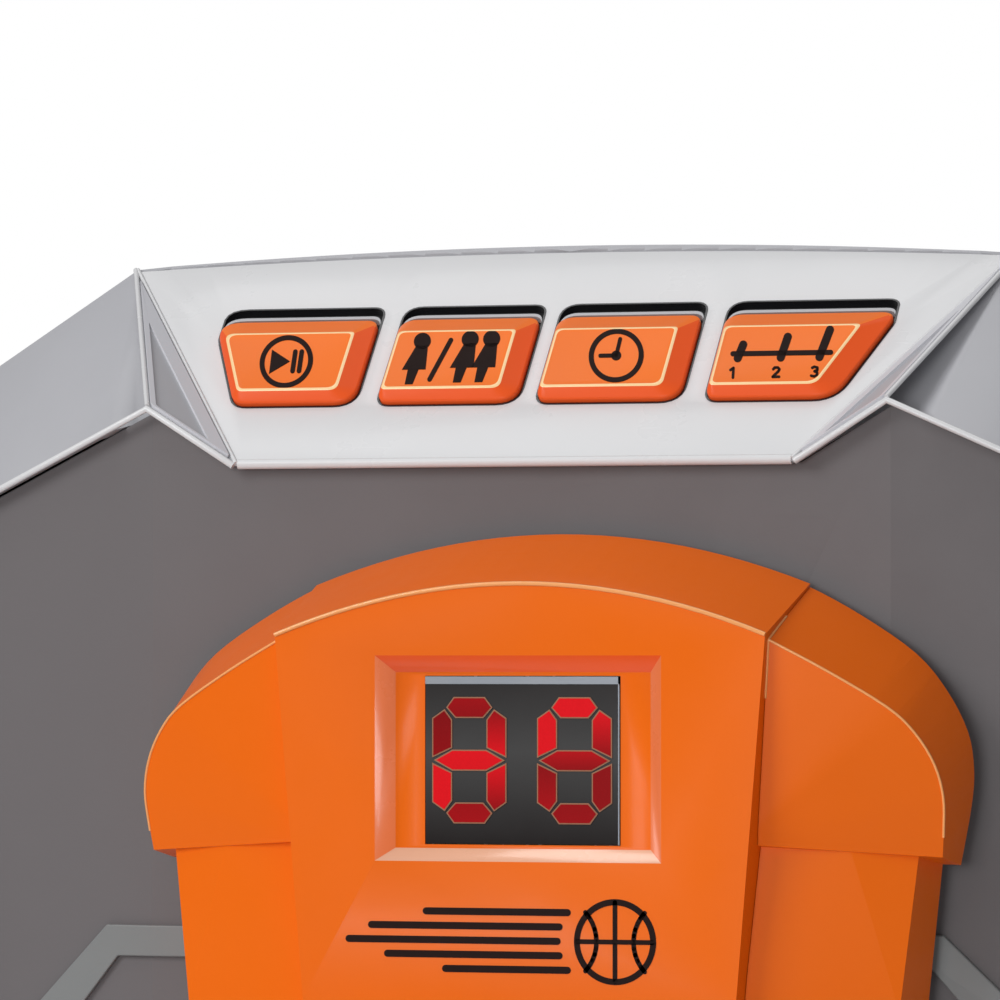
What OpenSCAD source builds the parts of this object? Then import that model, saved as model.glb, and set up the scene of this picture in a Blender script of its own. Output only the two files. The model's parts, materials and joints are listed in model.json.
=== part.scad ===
// Free-standing electronic basketball hoop machine with a side-to-side moving hoop.
// Millimetres, +Z up, the player stands at -Y, origin at the centre of the footprint on the floor.

/* [Head] */
// Height of the head's datum above the floor
head_z = 1040; // [1000:1:1080]
// Depth of the bezel's front edge behind the footprint's centre
head_y = 50; // [48:1:52]
// Depth from the bezel's front edge to the back of the console
bezel_depth = 58.1; // [56:0.1:60]
// Depth from the bezel's front edge to the rear face
head_depth = 90; // [90:1:94]
// Wall thickness of the outer shells
wall = 2.6; // [2.4:0.1:3]

/* [Console] */
// Height of the console's rear edge above its front edge
console_rise = 63.1; // [62:0.1:64]
// How far a button stands out of the console
button_rise = 4; // [3:0.1:5]
// How far a button travels when pressed
button_travel = 2.5; // [1.5:0.1:2.8]

/* [Score unit] */
// Sideways place of the sliding unit at rest
unit_x = 16.3; // [-20:0.1:20]
// Sideways travel to each side of the middle
unit_travel = 30; // [20:1:30]
// Depth of the sliding unit in front of the bezel's front edge
unit_depth = 43.9; // [43:0.1:45]
// Width of the display window
window_w = 59.8; // [58:0.1:62]
// Height of the display window
window_h = 49.2; // [46:0.1:50]
// Height of one digit
digit_h = 37.2; // [34:0.1:38]

/* [Hoop] */
// Radius to the middle of the rim's tube
rim_r = 104; // [102:1:104]
// Radius of the rim's tube
rim_tube_r = 6; // [5:0.5:6]
// Height of the rim below the head's datum
rim_drop = 189; // [188:0.5:190]
// Distance from the rim's middle to the bezel's front edge
rim_reach = 172; // [170:1:173]
// Length of the net
net_len = 150; // [120:1:170]

/* [Pole] */
// Outer radius of the upper tube
upper_tube_r = 16; // [15:0.5:16]
// Outer radius of the lower tube
lower_tube_r = 19; // [19:0.5:20]
// Height of the lower tube's top end
lower_tube_top = 560; // [540:1:580]
// Distance of the pole behind the footprint's centre
pole_y = 165; // [163:1:166]

/* [Base] */
// Width of the base
base_w = 440; // [436:1:460]
// Depth of the base
base_d = 470; // [468:1:490]
// Height of the base's plateau
base_h = 74; // [70:1:80]

/* [Hidden] */
$fn = 48;

// ---- colours ----
console_silver = [0.90, 0.90, 0.91];
silver_grey = [0.70, 0.70, 0.72];
dark_grey = [0.39, 0.375, 0.38];
stripe_grey = [0.50, 0.505, 0.51];
orange = [0.93, 0.42, 0.10];
button_orange = [0.96, 0.50, 0.28];
black_plastic = [0.10, 0.10, 0.105];
led_red = [0.85, 0.08, 0.06];
steel = [0.75, 0.76, 0.78];
circuit_green = [0.10, 0.38, 0.22];

// ---- small helpers ----
function left_normal(a, b) = let (d = b - a) [-d[1], d[0]] / norm(d);
// A closed outline, listed counter-clockwise, moved inwards by t
function inset(p, t) = let (n = len(p)) [for (i = [0:n - 1])
    let (before = left_normal(p[(i + n - 1) % n], p[i]), after = left_normal(p[i], p[(i + 1) % n]))
    p[i] + (before + after) * t / (1 + before * after)];
function flipped(p) = [for (i = [len(p) - 1:-1:0]) [-p[i][0], each [for (k = [1:len(p[i]) - 1]) p[i][k]]]];
function both_sides(p) = concat(p, flipped(p));
function side_of(p, s) = [for (q = p) [s * q[0], q[1], q[2]]];

// A bend of three points eased into a curve that starts and ends r from its middle point
function eased(a, b, c, r, steps = 6) = r == 0 ? [b] : let (
    from = b + (a - b) / norm(a - b) * min(r, norm(a - b) / 2),
    to = b + (c - b) / norm(c - b) * min(r, norm(c - b) / 2))
    [for (i = [0:steps]) let (t = i / steps) (1 - t) * (1 - t) * from + 2 * t * (1 - t) * b + t * t * to];
// Half an outline with each inner corner eased by its own radius; its first point stays sharp
function eased_half(p, radii) = [for (i = [0:len(p) - 1])
    each eased(p[max(i - 1, 0)], p[i], i + 1 < len(p) ? p[i + 1] : [-p[i][0], p[i][1]], radii[i])];
// A smooth line through points in space
function between(a, b, c, d, t) = (2 * b + (c - a) * t + (2 * a - 5 * b + 4 * c - d) * t * t
    + (3 * b - a - 3 * c + d) * t * t * t) / 2;
function smooth_line(p, steps = 4) = concat([for (i = [0:len(p) - 2], k = [0:steps - 1])
    between(p[max(i - 1, 0)], p[i], p[i + 1], p[min(i + 2, len(p) - 1)], k / steps)], [p[len(p) - 1]]);

// The convex solid around a list of points
module convex(points) hull() polyhedron(points, [[for (i = [0:len(points) - 1]) i]]);
// A plate standing in the XZ plane, from depth y0 to y1
module upright_plate(p, y0, y1) translate([0, y1, 0]) rotate([90, 0, 0]) linear_extrude(y1 - y0) polygon(p);
module upright_box(x, y, z) translate([x[0], y[0], z[0]]) cube([x[1] - x[0], y[1] - y[0], z[1] - z[0]]);
// Cylinders along +Y, +X and +Z, each between two places on its own axis
module rod_y(x, z, r, y) translate([x, y[0], z]) rotate([-90, 0, 0]) cylinder(r = r, h = y[1] - y[0]);
module rod_x(y, z, r, x) translate([x[0], y, z]) rotate([0, 90, 0]) cylinder(r = r, h = x[1] - x[0]);
module rod_z(x, y, r, z) translate([x, y, z[0]]) cylinder(r = r, h = z[1] - z[0]);
module at_head() translate([0, head_y, head_z]) children();
module at_unit() at_head() translate([unit_x, 0, 0]) children();
module at_pole() translate([0, pole_y, 0]) children();

// ---- base ----
foot_h = 6;
plate_t = 4;
foot_x = 180;
foot_y = 195;
base_corner = 30;
// An upright block with rounded corners, between two heights
module rounded_block(x, y, z) translate([0, 0, z[0]]) linear_extrude(z[1] - z[0])
    offset(r = base_corner, $fn = 32) offset(delta = -base_corner)
        polygon([[x[0], y[0]], [x[1], y[0]], [x[1], y[1]], [x[0], y[1]]]);
module base_solid(shrink) hull() {
    rounded_block([shrink - base_w / 2, base_w / 2 - shrink], [shrink - base_d / 2, base_d / 2 - shrink],
        [foot_h, 30 - shrink / 2]);
    rounded_block([shrink - base_w / 2 + 5, base_w / 2 - 5 - shrink], [shrink - base_d / 2 + 5,
        base_d / 2 - 5 - shrink], [foot_h, 36 - shrink / 2]);
    rounded_block([shrink - 120, 120 - shrink], [shrink - 40, base_d / 2 - 14 - shrink], [40, base_h - shrink]);
}
module base_shell() color(dark_grey) difference() {
    base_solid(0);
    base_solid(wall);
    rounded_block([wall - base_w / 2, base_w / 2 - wall], [wall - base_d / 2, base_d / 2 - wall], [0, 20]);
}
module base_plate() color(black_plastic) rounded_block([0.3 + wall - base_w / 2, base_w / 2 - wall - 0.3],
    [0.3 + wall - base_d / 2, base_d / 2 - wall - 0.3], [foot_h, foot_h + plate_t]);
ballast_t = 13;
module ballast_weight() color(steel)
    upright_box([-160, 160], [-190, 70], [foot_h + plate_t, foot_h + plate_t + ballast_t]);
module rubber_feet() color(black_plastic) for (x = [-foot_x, foot_x], y = [-foot_y, foot_y])
    translate([x, y, 0]) cylinder(r1 = 13, r2 = 15, h = foot_h);
module base_screws() color(steel) for (x = [-150, 150], y = [-foot_y, foot_y])
    rod_z(x, y, 4, [foot_h - 2, foot_h]);

// ---- pole ----
socket_flange_h = 6;
socket_h = 46;
tube_foot = base_h + socket_flange_h;
module pole_socket() color(black_plastic) at_pole() difference() {
    union() {
        rod_z(0, 0, 44, [base_h, tube_foot]);
        rod_z(0, 0, lower_tube_r + 5, [tube_foot, base_h + socket_h]);
    }
    rod_z(0, 0, lower_tube_r, [tube_foot, base_h + socket_h + 1]);
}
module socket_screws() color(steel) at_pole() for (a = [45:90:315]) rotate(a)
    rod_z(34, 0, 4.5, [tube_foot, tube_foot + 2.5]);
module tube(r, z) difference() {
    rod_z(0, 0, r, z);
    rod_z(0, 0, r - 1.6, [z[0] - 1, z[1] + 1]);
}
module lower_tube() color(silver_grey) at_pole() tube(lower_tube_r, [tube_foot, lower_tube_top]);

collar_r = lower_tube_r + 7;
collar_top = lower_tube_top + 26;
stud_z = lower_tube_top + 13;
stud_r = 4;
module clamp_collar() color(black_plastic) at_pole() difference() {
    union() {
        rod_z(0, 0, collar_r, [lower_tube_top - 24, collar_top]);
        rod_y(0, stud_z, 11, [collar_r - 4, collar_r + 5]);
    }
    rod_z(0, 0, lower_tube_r, [lower_tube_top - 25, lower_tube_top]);
    rod_z(0, 0, upper_tube_r + 0.1, [lower_tube_top - 1, collar_top + 1]);
    rod_y(0, stud_z, stud_r, [upper_tube_r - 2, collar_r + 6]);
}
module clamp_knob() color(black_plastic) at_pole() {
    rod_y(0, stud_z, stud_r - 0.06, [upper_tube_r + 0.8, collar_r + 6]);
    translate([0, collar_r + 6, stud_z]) rotate([-90, 0, 0]) difference() {
        cylinder(r = 19, h = 17);
        for (a = [0:45:315]) rotate(a) translate([22, 0, -1]) cylinder(r = 6, h = 19);
    }
}

upper_tube_foot = 300;
upper_tube_top = head_z + 20;
module upper_tube() color(steel) at_pole() tube(upper_tube_r, [upper_tube_foot, upper_tube_top]);
module guide_bush() color(black_plastic) at_pole() difference() {
    rod_z(0, 0, lower_tube_r - 1.65, [upper_tube_foot + 2, upper_tube_foot + 36]);
    rod_z(0, 0, upper_tube_r, [upper_tube_foot, upper_tube_foot + 40]);
}
module tube_cap() color(black_plastic) at_pole() {
    rod_z(0, 0, upper_tube_r - 1.6, [upper_tube_top - 12, upper_tube_top]);
    rod_z(0, 0, upper_tube_r + 1.5, [upper_tube_top, upper_tube_top + 3]);
}

bracket_z = [-30, -130];
module head_bracket() color(black_plastic) at_pole() difference() {
    union() {
        upright_box([-45, 45], [head_y + head_depth - pole_y, head_y + head_depth - pole_y + 4],
            [head_z - 155, head_z - 5]);
        for (z = bracket_z) {
            upright_box([-upper_tube_r - 7, upper_tube_r + 7], [head_y + head_depth - pole_y, 0],
                [head_z + z - 15, head_z + z + 15]);
            rod_z(0, 0, upper_tube_r + 7, [head_z + z - 15, head_z + z + 15]);
        }
    }
    rod_z(0, 0, upper_tube_r, [head_z - 300, head_z + 40]);
}
module bracket_bolts() color(steel) at_head() for (x = [-37, 37], z = [-145, -80, -15])
    rod_y(x, z, 4.5, [head_depth + 4, head_depth + 7]);

// ---- head outlines, right half, from the top to the foot; counter-clockwise once mirrored ----
ear = [116.5, 29.6];
console_foot = [88.2, 11.8];
console_head = [142.7, 11.8 + console_rise];
sweep = 0.2; // set-back of the front beyond each ear, for each millimetre outwards
function swept(x) = max(0, (abs(x) - ear[0]) * sweep);
front_half = eased_half([ear, [186, -2], [191, -40], [177, -226], [152, -247]], [0, 10, 16, 14, 14]);
rear_half = eased_half([console_head, [208, 35], [215, -40], [199, -240], [170, -270]], [0, 12, 22, 20, 20]);
front_outline = both_sides([for (i = [len(front_half) - 1:-1:0]) front_half[i]]);
rear_outline = both_sides([for (i = [len(rear_half) - 1:-1:0]) rear_half[i]]);
top_arch = 5.6;
arch_steps = 24;
arch_points = [for (i = [1:arch_steps - 1])
    let (s = 1 - 2 * i / arch_steps) [s * console_head[0], console_head[1] + top_arch * (1 - s * s)]];
half_count = len(rear_half);
function rear_arched(t) = let (p = inset(rear_outline, t))
    concat([for (i = [0:half_count - 1]) p[i]], [for (q = arch_points) [q[0], q[1] - t]],
        [for (i = [half_count:2 * half_count - 1]) p[i]]);
// The head's outer form for t = 0, and the hollow inside a wall of t
function head_points(t) = concat(
    [for (q = inset(front_outline, t)) [q[0], swept(q[0]) + t, q[1]]],
    [for (q = rear_arched(t)) [q[0], bezel_depth + swept(q[0]) / 3, q[1]]],
    [for (q = rear_arched(t + 3)) [q[0], head_depth + (t > 0 ? 1 : 0), q[1]]]);
// A sheet that follows the swept front, from depth y0 to y1 behind it
module swept_sheet(y0, y1) translate([0, 0, -300]) linear_extrude(400) polygon(concat(
    [for (x = [-220, -ear[0], ear[0], 220]) [x, swept(x) + y0]],
    [for (x = [220, ear[0], -ear[0], -220]) [x, swept(x) + y1]]));
// The notch between the two ears, in which the console lies; t widens it downwards
module console_notch(t) {
    along = [ear[0] - console_foot[0], 0, ear[1] - console_foot[1]];
    foot = [console_foot[0] + t, -t / 2, console_foot[1] - t * 1.3];
    head = [console_head[0] + t, bezel_depth, console_head[1] - t * 1.3];
    half = [foot, head, foot + 1.8 * along, head + 1.8 * along,
        [foot[0], -60, foot[2] - 60 * console_rise / bezel_depth],
        [head[0], bezel_depth + 60, head[2] + 60 * console_rise / bezel_depth],
        [foot[0], -60, 140], [head[0] + 60, bezel_depth + 60, 240]];
    convex(concat(half, side_of(half, -1)));
}

// ---- console frame: X across, Y up the slope from its front edge, Z out of it ----
console_angle = atan2(console_rise, bezel_depth);
slope_len = norm([bezel_depth, console_rise]);
module at_console() at_head() translate([0, 0, console_foot[1]]) rotate([console_angle, 0, 0]) children();
console_outline = concat([[-console_foot[0], 0], [console_foot[0], 0], [console_head[0], slope_len]],
    [for (q = arch_points) [q[0], slope_len + (q[1] - console_head[1]) * 0.9]], [[-console_head[0], slope_len]]);
button_foot = 24.4;
button_head = 59.6;
// The four keys: their corners, counter-clockwise from the front left, each with the reach of its curve
start_key = [[-94.3, button_foot, 4], [-55.2, button_foot, 7], [-55.2, button_head, 3.5], [-108.7, button_head, 9]];
players_key = [[-47.8, button_foot, 4], [-3, button_foot, 7], [-3, button_head, 3.5], [-47.8, button_head, 5.5]];
timer_key = [[3, button_foot, 4], [48.4, button_foot, 7], [48.6, button_head, 3.5], [3, button_head, 5.5]];
level_key = [[56.3, button_foot, 4], [96.3, button_foot, 7], [109.8, button_head, 4.5], [56.3, button_head, 5.5]];
KEYS = [start_key, players_key, timer_key, level_key];
key_gap = 6.5; // free space above each key in its opening
function flat(q) = [q[0], q[1]];
function key_outline(p) = [for (i = [0:len(p) - 1])
    each eased(flat(p[(i + len(p) - 1) % len(p)]), flat(p[i]), flat(p[(i + 1) % len(p)]), p[i][2])];
function key_middle(p) = [(p[0][0] + p[1][0]) / 2, (button_foot + button_head) / 2];
module key_shape(p, grow) offset(delta = grow) polygon(key_outline(p));
module key_opening(p, grow) hull() for (up = [0, key_gap]) translate([0, up]) key_shape(p, grow);
module console_cover() color(console_silver) at_console() difference() {
    translate([0, 0, -wall]) linear_extrude(wall) offset(delta = -0.8) polygon(console_outline);
    for (p = KEYS) translate([0, 0, -wall - 1]) linear_extrude(wall + 2) key_opening(p, 0.6);
}
flange_t = 2;
plunger_h = 3;
module button(p) color(button_orange) at_console() {
    translate([0, 0, -wall - flange_t]) linear_extrude(flange_t + wall + button_rise) key_shape(p, 0);
    translate([0, 0, -wall - flange_t]) linear_extrude(flange_t - 0.2) key_opening(p, 1.6);
    translate(concat(key_middle(p), -wall - flange_t - plunger_h)) cylinder(r = 5, h = plunger_h + 1);
}
module start_button() button(start_key);
module players_button() button(players_key);
module timer_button() button(timer_key);
module level_button() button(level_key);
membrane_z = -wall - flange_t - plunger_h - button_travel - 0.7;
module key_membrane() color(silver_grey) at_console() for (p = KEYS)
    translate(concat(key_middle(p), membrane_z - 3)) cylinder(r = 8, h = 3);
module key_board() color(circuit_green) at_console()
    translate([-102, button_foot - 4, membrane_z - 4.6]) cube([204, 46, 1.6]);

// ---- head shells ----
panel_depth = 5;
panel_t = 2.4;
slot_z = [-101, -84];
lip = 1.6;
console_seat = 2.4;
// The outline of the panel's opening, t inside the bezel's front edge and under the console
module panel_outline(t) difference() {
    polygon(inset(front_outline, t));
    polygon(notch_outline(t));
}
function notch_outline(t) = let (half = [[console_foot[0] + t / 2, console_foot[1] - t / 2],
    [ear[0] + t / 2, ear[1] - t], [ear[0] + t / 2 + 30, ear[1] + 19]]) concat(half, flipped(half));
// The opening's outline as a solid between two depths that follow the swept front
module panel_solid(t, y0, y1) intersection() {
    swept_sheet(y0, y1);
    translate([0, 100, 0]) rotate([90, 0, 0]) linear_extrude(200) panel_outline(t);
}
module frame_shell() color(silver_grey) at_head() difference() {
    convex(head_points(0));
    console_notch(0);
    difference() {
        convex(head_points(wall));
        console_notch(wall + console_seat);
    }
    translate([0, 0, console_foot[1]]) rotate([console_angle, 0, 0]) {
        translate([0, 0, -wall]) linear_extrude(wall + 2) offset(delta = -0.6) polygon(console_outline);
        translate([0, 0, -30]) linear_extrude(32) offset(delta = -4) polygon(console_outline);
    }
    panel_solid(lip, -30, panel_depth + panel_t + 0.1);
}
module front_panel() color(dark_grey) at_head() difference() {
    panel_solid(lip + 0.3, panel_depth, panel_depth + panel_t);
    upright_box([-20 - unit_travel - 4, 20 + unit_travel + 4], [0, 20], slot_z);
}
stripe_w = 9.5;
stripe_half = [[132, -129], [164, -161], [168, -228], [168 - stripe_w, -228], [160 - stripe_w, -165],
    [128, -129 - stripe_w]];
module arch_stripe() color(stripe_grey) at_head() intersection() {
    swept_sheet(panel_depth - 2, panel_depth);
    upright_plate(concat([for (i = [5:-1:0]) stripe_half[i]], [for (q = stripe_half) [-q[0], q[1]]]), -10, 60);
}
door_x = 58;
battery_x = 96;
door_z = [-232, -172];
hinge_z = -238;
hinge_y = head_depth + 3;
hinge_pin_r = 1.5;
switch_z = -178;
speaker_x = -120;
speaker_z = -90;
module back_cover() color(dark_grey) at_head() difference() {
    union() {
        upright_plate(inset(rear_outline, wall + 3.4), head_depth - 3, head_depth);
        for (s = [-1, 1]) hull() {
            lug = [battery_x + s * (door_x + 4) - 3, battery_x + s * (door_x + 4) + 3];
            rod_x(hinge_y, hinge_z, 3, lug);
            upright_box(lug, [head_depth - 1, head_depth], [hinge_z - 4, hinge_z + 4]);
        }
    }
    upright_box([battery_x - door_x - 0.5, battery_x + door_x + 0.5], [head_depth - 10, head_depth + 5],
        [door_z[0] - 3, door_z[1] + 0.5]);
    rod_x(hinge_y, hinge_z, hinge_pin_r + 0.05, [battery_x - door_x - 10, battery_x + door_x + 10]);
    for (k = [-3:3]) let (half = sqrt(26 * 26 - 49 * k * k)) upright_box([speaker_x - half, speaker_x + half],
        [head_depth - 10, head_depth + 1], [speaker_z + 7 * k - 1.6, speaker_z + 7 * k + 1.6]);
    upright_box([-96, -84], [head_depth - 10, head_depth + 1], [switch_z - 4, switch_z + 4]);
}
module at_battery() at_head() translate([battery_x, 0, 0]) children();
module battery_door() color(dark_grey) at_battery() {
    upright_box([-door_x, door_x], [head_depth - 2.5, head_depth - 0.1], door_z);
    upright_box([-door_x, door_x], [head_depth - 2.5, hinge_y + 0.5], [door_z[0] - 2.5, door_z[0]]);
    upright_box([-door_x, door_x], [hinge_y - 1.5, hinge_y + 0.5], [hinge_z + 1, door_z[0]]);
    rod_x(hinge_y, hinge_z, 2.6, [-door_x, door_x]);
    rod_x(hinge_y, hinge_z, hinge_pin_r, [-door_x - 6, door_x + 6]);
}
module door_screw() color(steel) at_battery()
    rod_y(0, door_z[1] - 8, 3.5, [head_depth - 0.1, head_depth + 1.5]);
module cover_screws() color(steel) at_head() for (x = [-170, 170], z = [-225, -120, 20])
    rod_y(x, z, 4, [head_depth, head_depth + 2]);

// ---- electronics ----
module main_board() color(circuit_green) at_head() upright_box([60, 160], [70, 71.6], [-120, -40]);
module board_chips() color(black_plastic) at_head() for (i = [0:4])
    upright_box([68 + i * 18, 78 + i * 18], [67, 70], [-95 + (i % 2) * 22, -80 + (i % 2) * 22]);
module speaker() color(black_plastic) at_head() {
    rod_y(speaker_x, speaker_z, 28, [head_depth - 9, head_depth - 3]);
    rod_y(speaker_x, speaker_z, 14, [head_depth - 24, head_depth - 9]);
}
battery_y = [head_depth - 37, head_depth - 3.2];
cell_r = 13;
cell_len = 50;
cell_z = [-216, -187];
module battery_box() color(black_plastic) at_battery() difference() {
    upright_box([-61, 61], battery_y, [-238, -166]);
    upright_box([-57.5, 57.5], [battery_y[0] + 2, battery_y[1] + 1], [-235, -169]);
}
module battery_cells() color(orange) at_battery() for (s = [-1, 1], z = cell_z)
    rod_x(head_depth - 20, z, cell_r, [s * 27 - cell_len / 2, s * 27 + cell_len / 2]);
module battery_contacts() color(steel) at_battery() for (s = [-1, 1], z = cell_z)
    upright_box([s * 54.8 - 2.6, s * 54.8 + 2.6], [head_depth - 25, head_depth - 15], [z - 6, z + 6]);
module switch_body() color(black_plastic) at_head()
    upright_box([-100, -80], [head_depth - 13, head_depth - 3], [switch_z - 12, switch_z + 12]);
module power_switch() color(orange) at_head() upright_box([-95, -90], [head_depth - 2.9, head_depth + 2.5],
    [switch_z - 3, switch_z + 3]);

// ---- drive ----
gear_module = 1.5;
pinion_teeth = 16;
pitch_r = gear_module * pinion_teeth / 2;
tooth_pitch = PI * gear_module;
pressure_angle = 20;
backlash = 0.3;
rack_z = -53;
pinion_z = rack_z + pitch_r;
gear_y = [17, 27];
rod_r = 4;
rod_y_place = 24;
rod_z_places = [-70, -115];
rod_end = 84;
frame_plate_y = [42, 44.4];
module guide_rods() color(steel) at_head()
    for (z = rod_z_places) rod_x(rod_y_place, z, rod_r, [-rod_end, rod_end]);
module rod_blocks() color(black_plastic) at_head() for (s = [-1, 1]) difference() {
    upright_box([s * 78 - 6, s * 78 + 6], [16, frame_plate_y[0]], [-126, -59]);
    for (z = rod_z_places) rod_x(rod_y_place, z, rod_r, [-100, 100]);
}
shaft_r = 3;
module drive_frame() color(steel) at_head() {
    difference() {
        upright_box([-150, 150], frame_plate_y, [-150, -20]);
        rod_y(0, pinion_z, shaft_r + 0.5, [30, 60]);
    }
    for (x = [-140, 140], z = [-140, -30]) rod_y(x, z, 5, [frame_plate_y[1], head_depth - 3]);
}
module gear_motor() color(steel) at_head() difference() {
    union() {
        upright_box([-14, 14], [frame_plate_y[1], 62], [pinion_z - 14, pinion_z + 20]);
        rod_y(0, pinion_z + 5, 12, [62, 84]);
    }
    rod_y(0, pinion_z, shaft_r + 0.05, [30, 58]);
}
module drive_shaft() color(steel) at_head() rod_y(0, pinion_z, shaft_r, [gear_y[0] - 1, 57]);

// Involute tooth flank: half the angle that a tooth fills at radius r
function involute_angle(r) = let (a = acos(base_r / r)) tan(a) * 180 / PI - a;
base_r = pitch_r * cos(pressure_angle);
tooth_half = (tooth_pitch / 4 - backlash / 2) / pitch_r * 180 / PI;
function half_angle(r) = tooth_half + involute_angle(pitch_r) - involute_angle(max(r, base_r));
root_r = pitch_r - 1.25 * gear_module;
flank_radii = [root_r, base_r, pitch_r, pitch_r + gear_module * 0.55, pitch_r + gear_module];
function polar(r, a) = [r * sin(a), -r * cos(a)];
module drive_pinion() color(console_silver) at_head() difference() {
    translate([0, gear_y[1] - 0.5, pinion_z]) rotate([90, 0, 0]) linear_extrude(gear_y[1] - gear_y[0] - 1)
        polygon([for (k = [0:pinion_teeth - 1]) let (a = k * 360 / pinion_teeth)
            each concat([for (r = flank_radii) polar(r, a - half_angle(r))],
                [for (i = [len(flank_radii) - 1:-1:0]) polar(flank_radii[i], a + half_angle(flank_radii[i]))])]);
    rod_y(0, pinion_z, shaft_r, [0, 60]);
}
carriage_half = 32;
carriage_z = [-125, -60];
rack_half = 39;
function rack_tooth(x) = let (w = tooth_pitch / 4 - backlash / 2, lean = tan(pressure_angle))
    [[x - w - 1.8 * lean, rack_z - 1.8], [x - w + gear_module * lean, rack_z + gear_module],
    [x + w - gear_module * lean, rack_z + gear_module], [x + w + 1.8 * lean, rack_z - 1.8]];
first_tooth = ceil((unit_x - rack_half) / tooth_pitch);
last_tooth = floor((unit_x + rack_half) / tooth_pitch) - 1;
module slide_rack() color(black_plastic) at_head() upright_plate(concat(
    [[unit_x - rack_half, carriage_z[1]], [unit_x - rack_half, rack_z - 1.8]],
    [for (k = [first_tooth:last_tooth]) each rack_tooth((k + 0.5) * tooth_pitch)],
    [[unit_x + rack_half, rack_z - 1.8], [unit_x + rack_half, carriage_z[1]]]), gear_y[0], gear_y[1]);
module carriage() color(black_plastic) at_unit() difference() {
    union() {
        upright_box([-carriage_half, carriage_half], [16, 32], carriage_z);
        upright_box([-20, 20], [-1.5, 16], [slot_z[0] + 2.5, slot_z[1] - 2.5]);
    }
    for (z = rod_z_places) rod_x(rod_y_place, z, rod_r + 2, [-40, 40]);
}
module carriage_bushes() color(console_silver) at_unit() for (s = [-1, 1], z = rod_z_places) difference() {
    rod_x(rod_y_place, z, rod_r + 2, [s * 25 - 7, s * 25 + 7]);
    rod_x(rod_y_place, z, rod_r + 0.05, [-40, 40]);
}

// ---- score unit: the block in the middle and a cover on each side ----
unit_back = -1.5;
block_front = [[75.4, -40.5], [66.5, -147.9], [61, -214]];
block_rear = [[77.3, -25.4], [68.5, -147.9], [63, -218]];
block_arch = 15;
function arched(p, t) = let (top = p[0] - [t, t]) concat(
    [for (i = [0:arch_steps]) let (s = 1 - 2 * i / arch_steps) [s * top[0], top[1] + block_arch * (1 - s * s)]],
    [[-p[1][0] + t, p[1][1]], [-p[2][0] + t, p[2][1] + t], [p[2][0] - t, p[2][1] + t], [p[1][0] - t, p[1][1]]]);
function block_points(t) = concat([for (q = arched(block_front, t)) [q[0], -unit_depth + t, q[1]]],
    [for (q = arched(block_rear, t)) [q[0], unit_back + (t > 0 ? 1 : 0), q[1]]]);
recess = [44, -46.6, -107];
recess_floor = [39.3, -51.5, -103.3];
recess_depth = 5.2;
function pan(r, y) = [for (x = [-r[0], r[0]], z = [r[1], r[2]]) [x, y, z]];
window_mid = (recess_floor[1] + recess_floor[2]) / 2;
module score_face() color(orange) at_unit() difference() {
    union() {
        difference() {
            convex(block_points(0));
            convex(block_points(wall));
        }
        upright_box([-46, 46], [-unit_depth + 1, -unit_depth + recess_depth + 2.2], [-109, -44]);
    }
    convex(concat(pan(recess, -unit_depth), pan(recess_floor, -unit_depth + recess_depth), pan(recess, -60)));
    upright_box([-window_w / 2 - 0.2, window_w / 2 + 0.2], [-60, -20],
        [window_mid - window_h / 2 - 0.2, window_mid + window_h / 2 + 0.2]);
}
wing_front = smooth_line([[70, -41.2, -39], [76.5, -40.6, -42.6], [92, -37.5, -51], [109, -33.5, -61.5],
    [116.5, -30.5, -69], [121.5, -27.5, -78], [123.6, -25.2, -87.4], [123.2, -23, -97], [122.4, -21, -105.2]]);
wing_rear = smooth_line([[70, unit_back, -24.5], [77.3, unit_back, -26.4], [93.4, unit_back, -35],
    [109.6, unit_back, -46], [119, unit_back, -57], [125.2, unit_back, -69], [127, unit_back, -80],
    [126.2, unit_back, -91], [123, unit_back, -108]]);
wing_points = concat(wing_front, wing_rear, [[66, -37.3, -101.5], [66, unit_back, -106]]);
leg_points = [[66, -34, -100], [96.7, -28, -103], [115.5, -21, -103], [118, unit_back, -103],
    [60, -38.5, -150], [91.9, -27.2, -150], [110.1, -23.6, -150], [113, unit_back, -150],
    [55, -37, -205], [82, -25, -207], [97, -22, -208], [99, unit_back, -210],
    [66, unit_back, -101], [60, unit_back, -150], [55, unit_back, -210]];
function sum_of(p, i = 0) = i == len(p) ? [0, 0, 0] : p[i] + sum_of(p, i + 1);
// The same points drawn towards their middle; the hollow stays open at the back and towards the block
inner_x = 72;
function hollowed(p, t) = let (mid = sum_of(p) / len(p)) [for (q = p) let (
    at_back = q[1] > unit_back - 1,
    at_block = q[0] < inner_x,
    step = [at_block ? 0 : mid[0] - q[0], at_back ? 0 : mid[1] - q[1], mid[2] - q[2]])
    q + step / norm(step) * t + [at_block ? -4 : 0, at_back ? 2 : 0, 0]];
module side_cover(s) color(orange) at_unit() difference() {
    union() {
        convex(side_of(wing_points, s));
        convex(side_of(leg_points, s));
    }
    convex(side_of(hollowed(wing_points, 4.5), s));
    convex(side_of(hollowed(leg_points, 4.5), s));
    convex(block_points(-0.15));
}
module left_side_cover() side_cover(-1);
module right_side_cover() side_cover(1);
module rear_plate() color(black_plastic) at_unit()
    upright_box([-58, 58], [unit_back - 2.6, unit_back], [-200, -45]);

digit_gap = 32.4;
digit_w = 23;
bar_w = 6.2;
bar_gap = 0.5;
bar_front = -unit_depth + recess_depth - 0.6;
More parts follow.
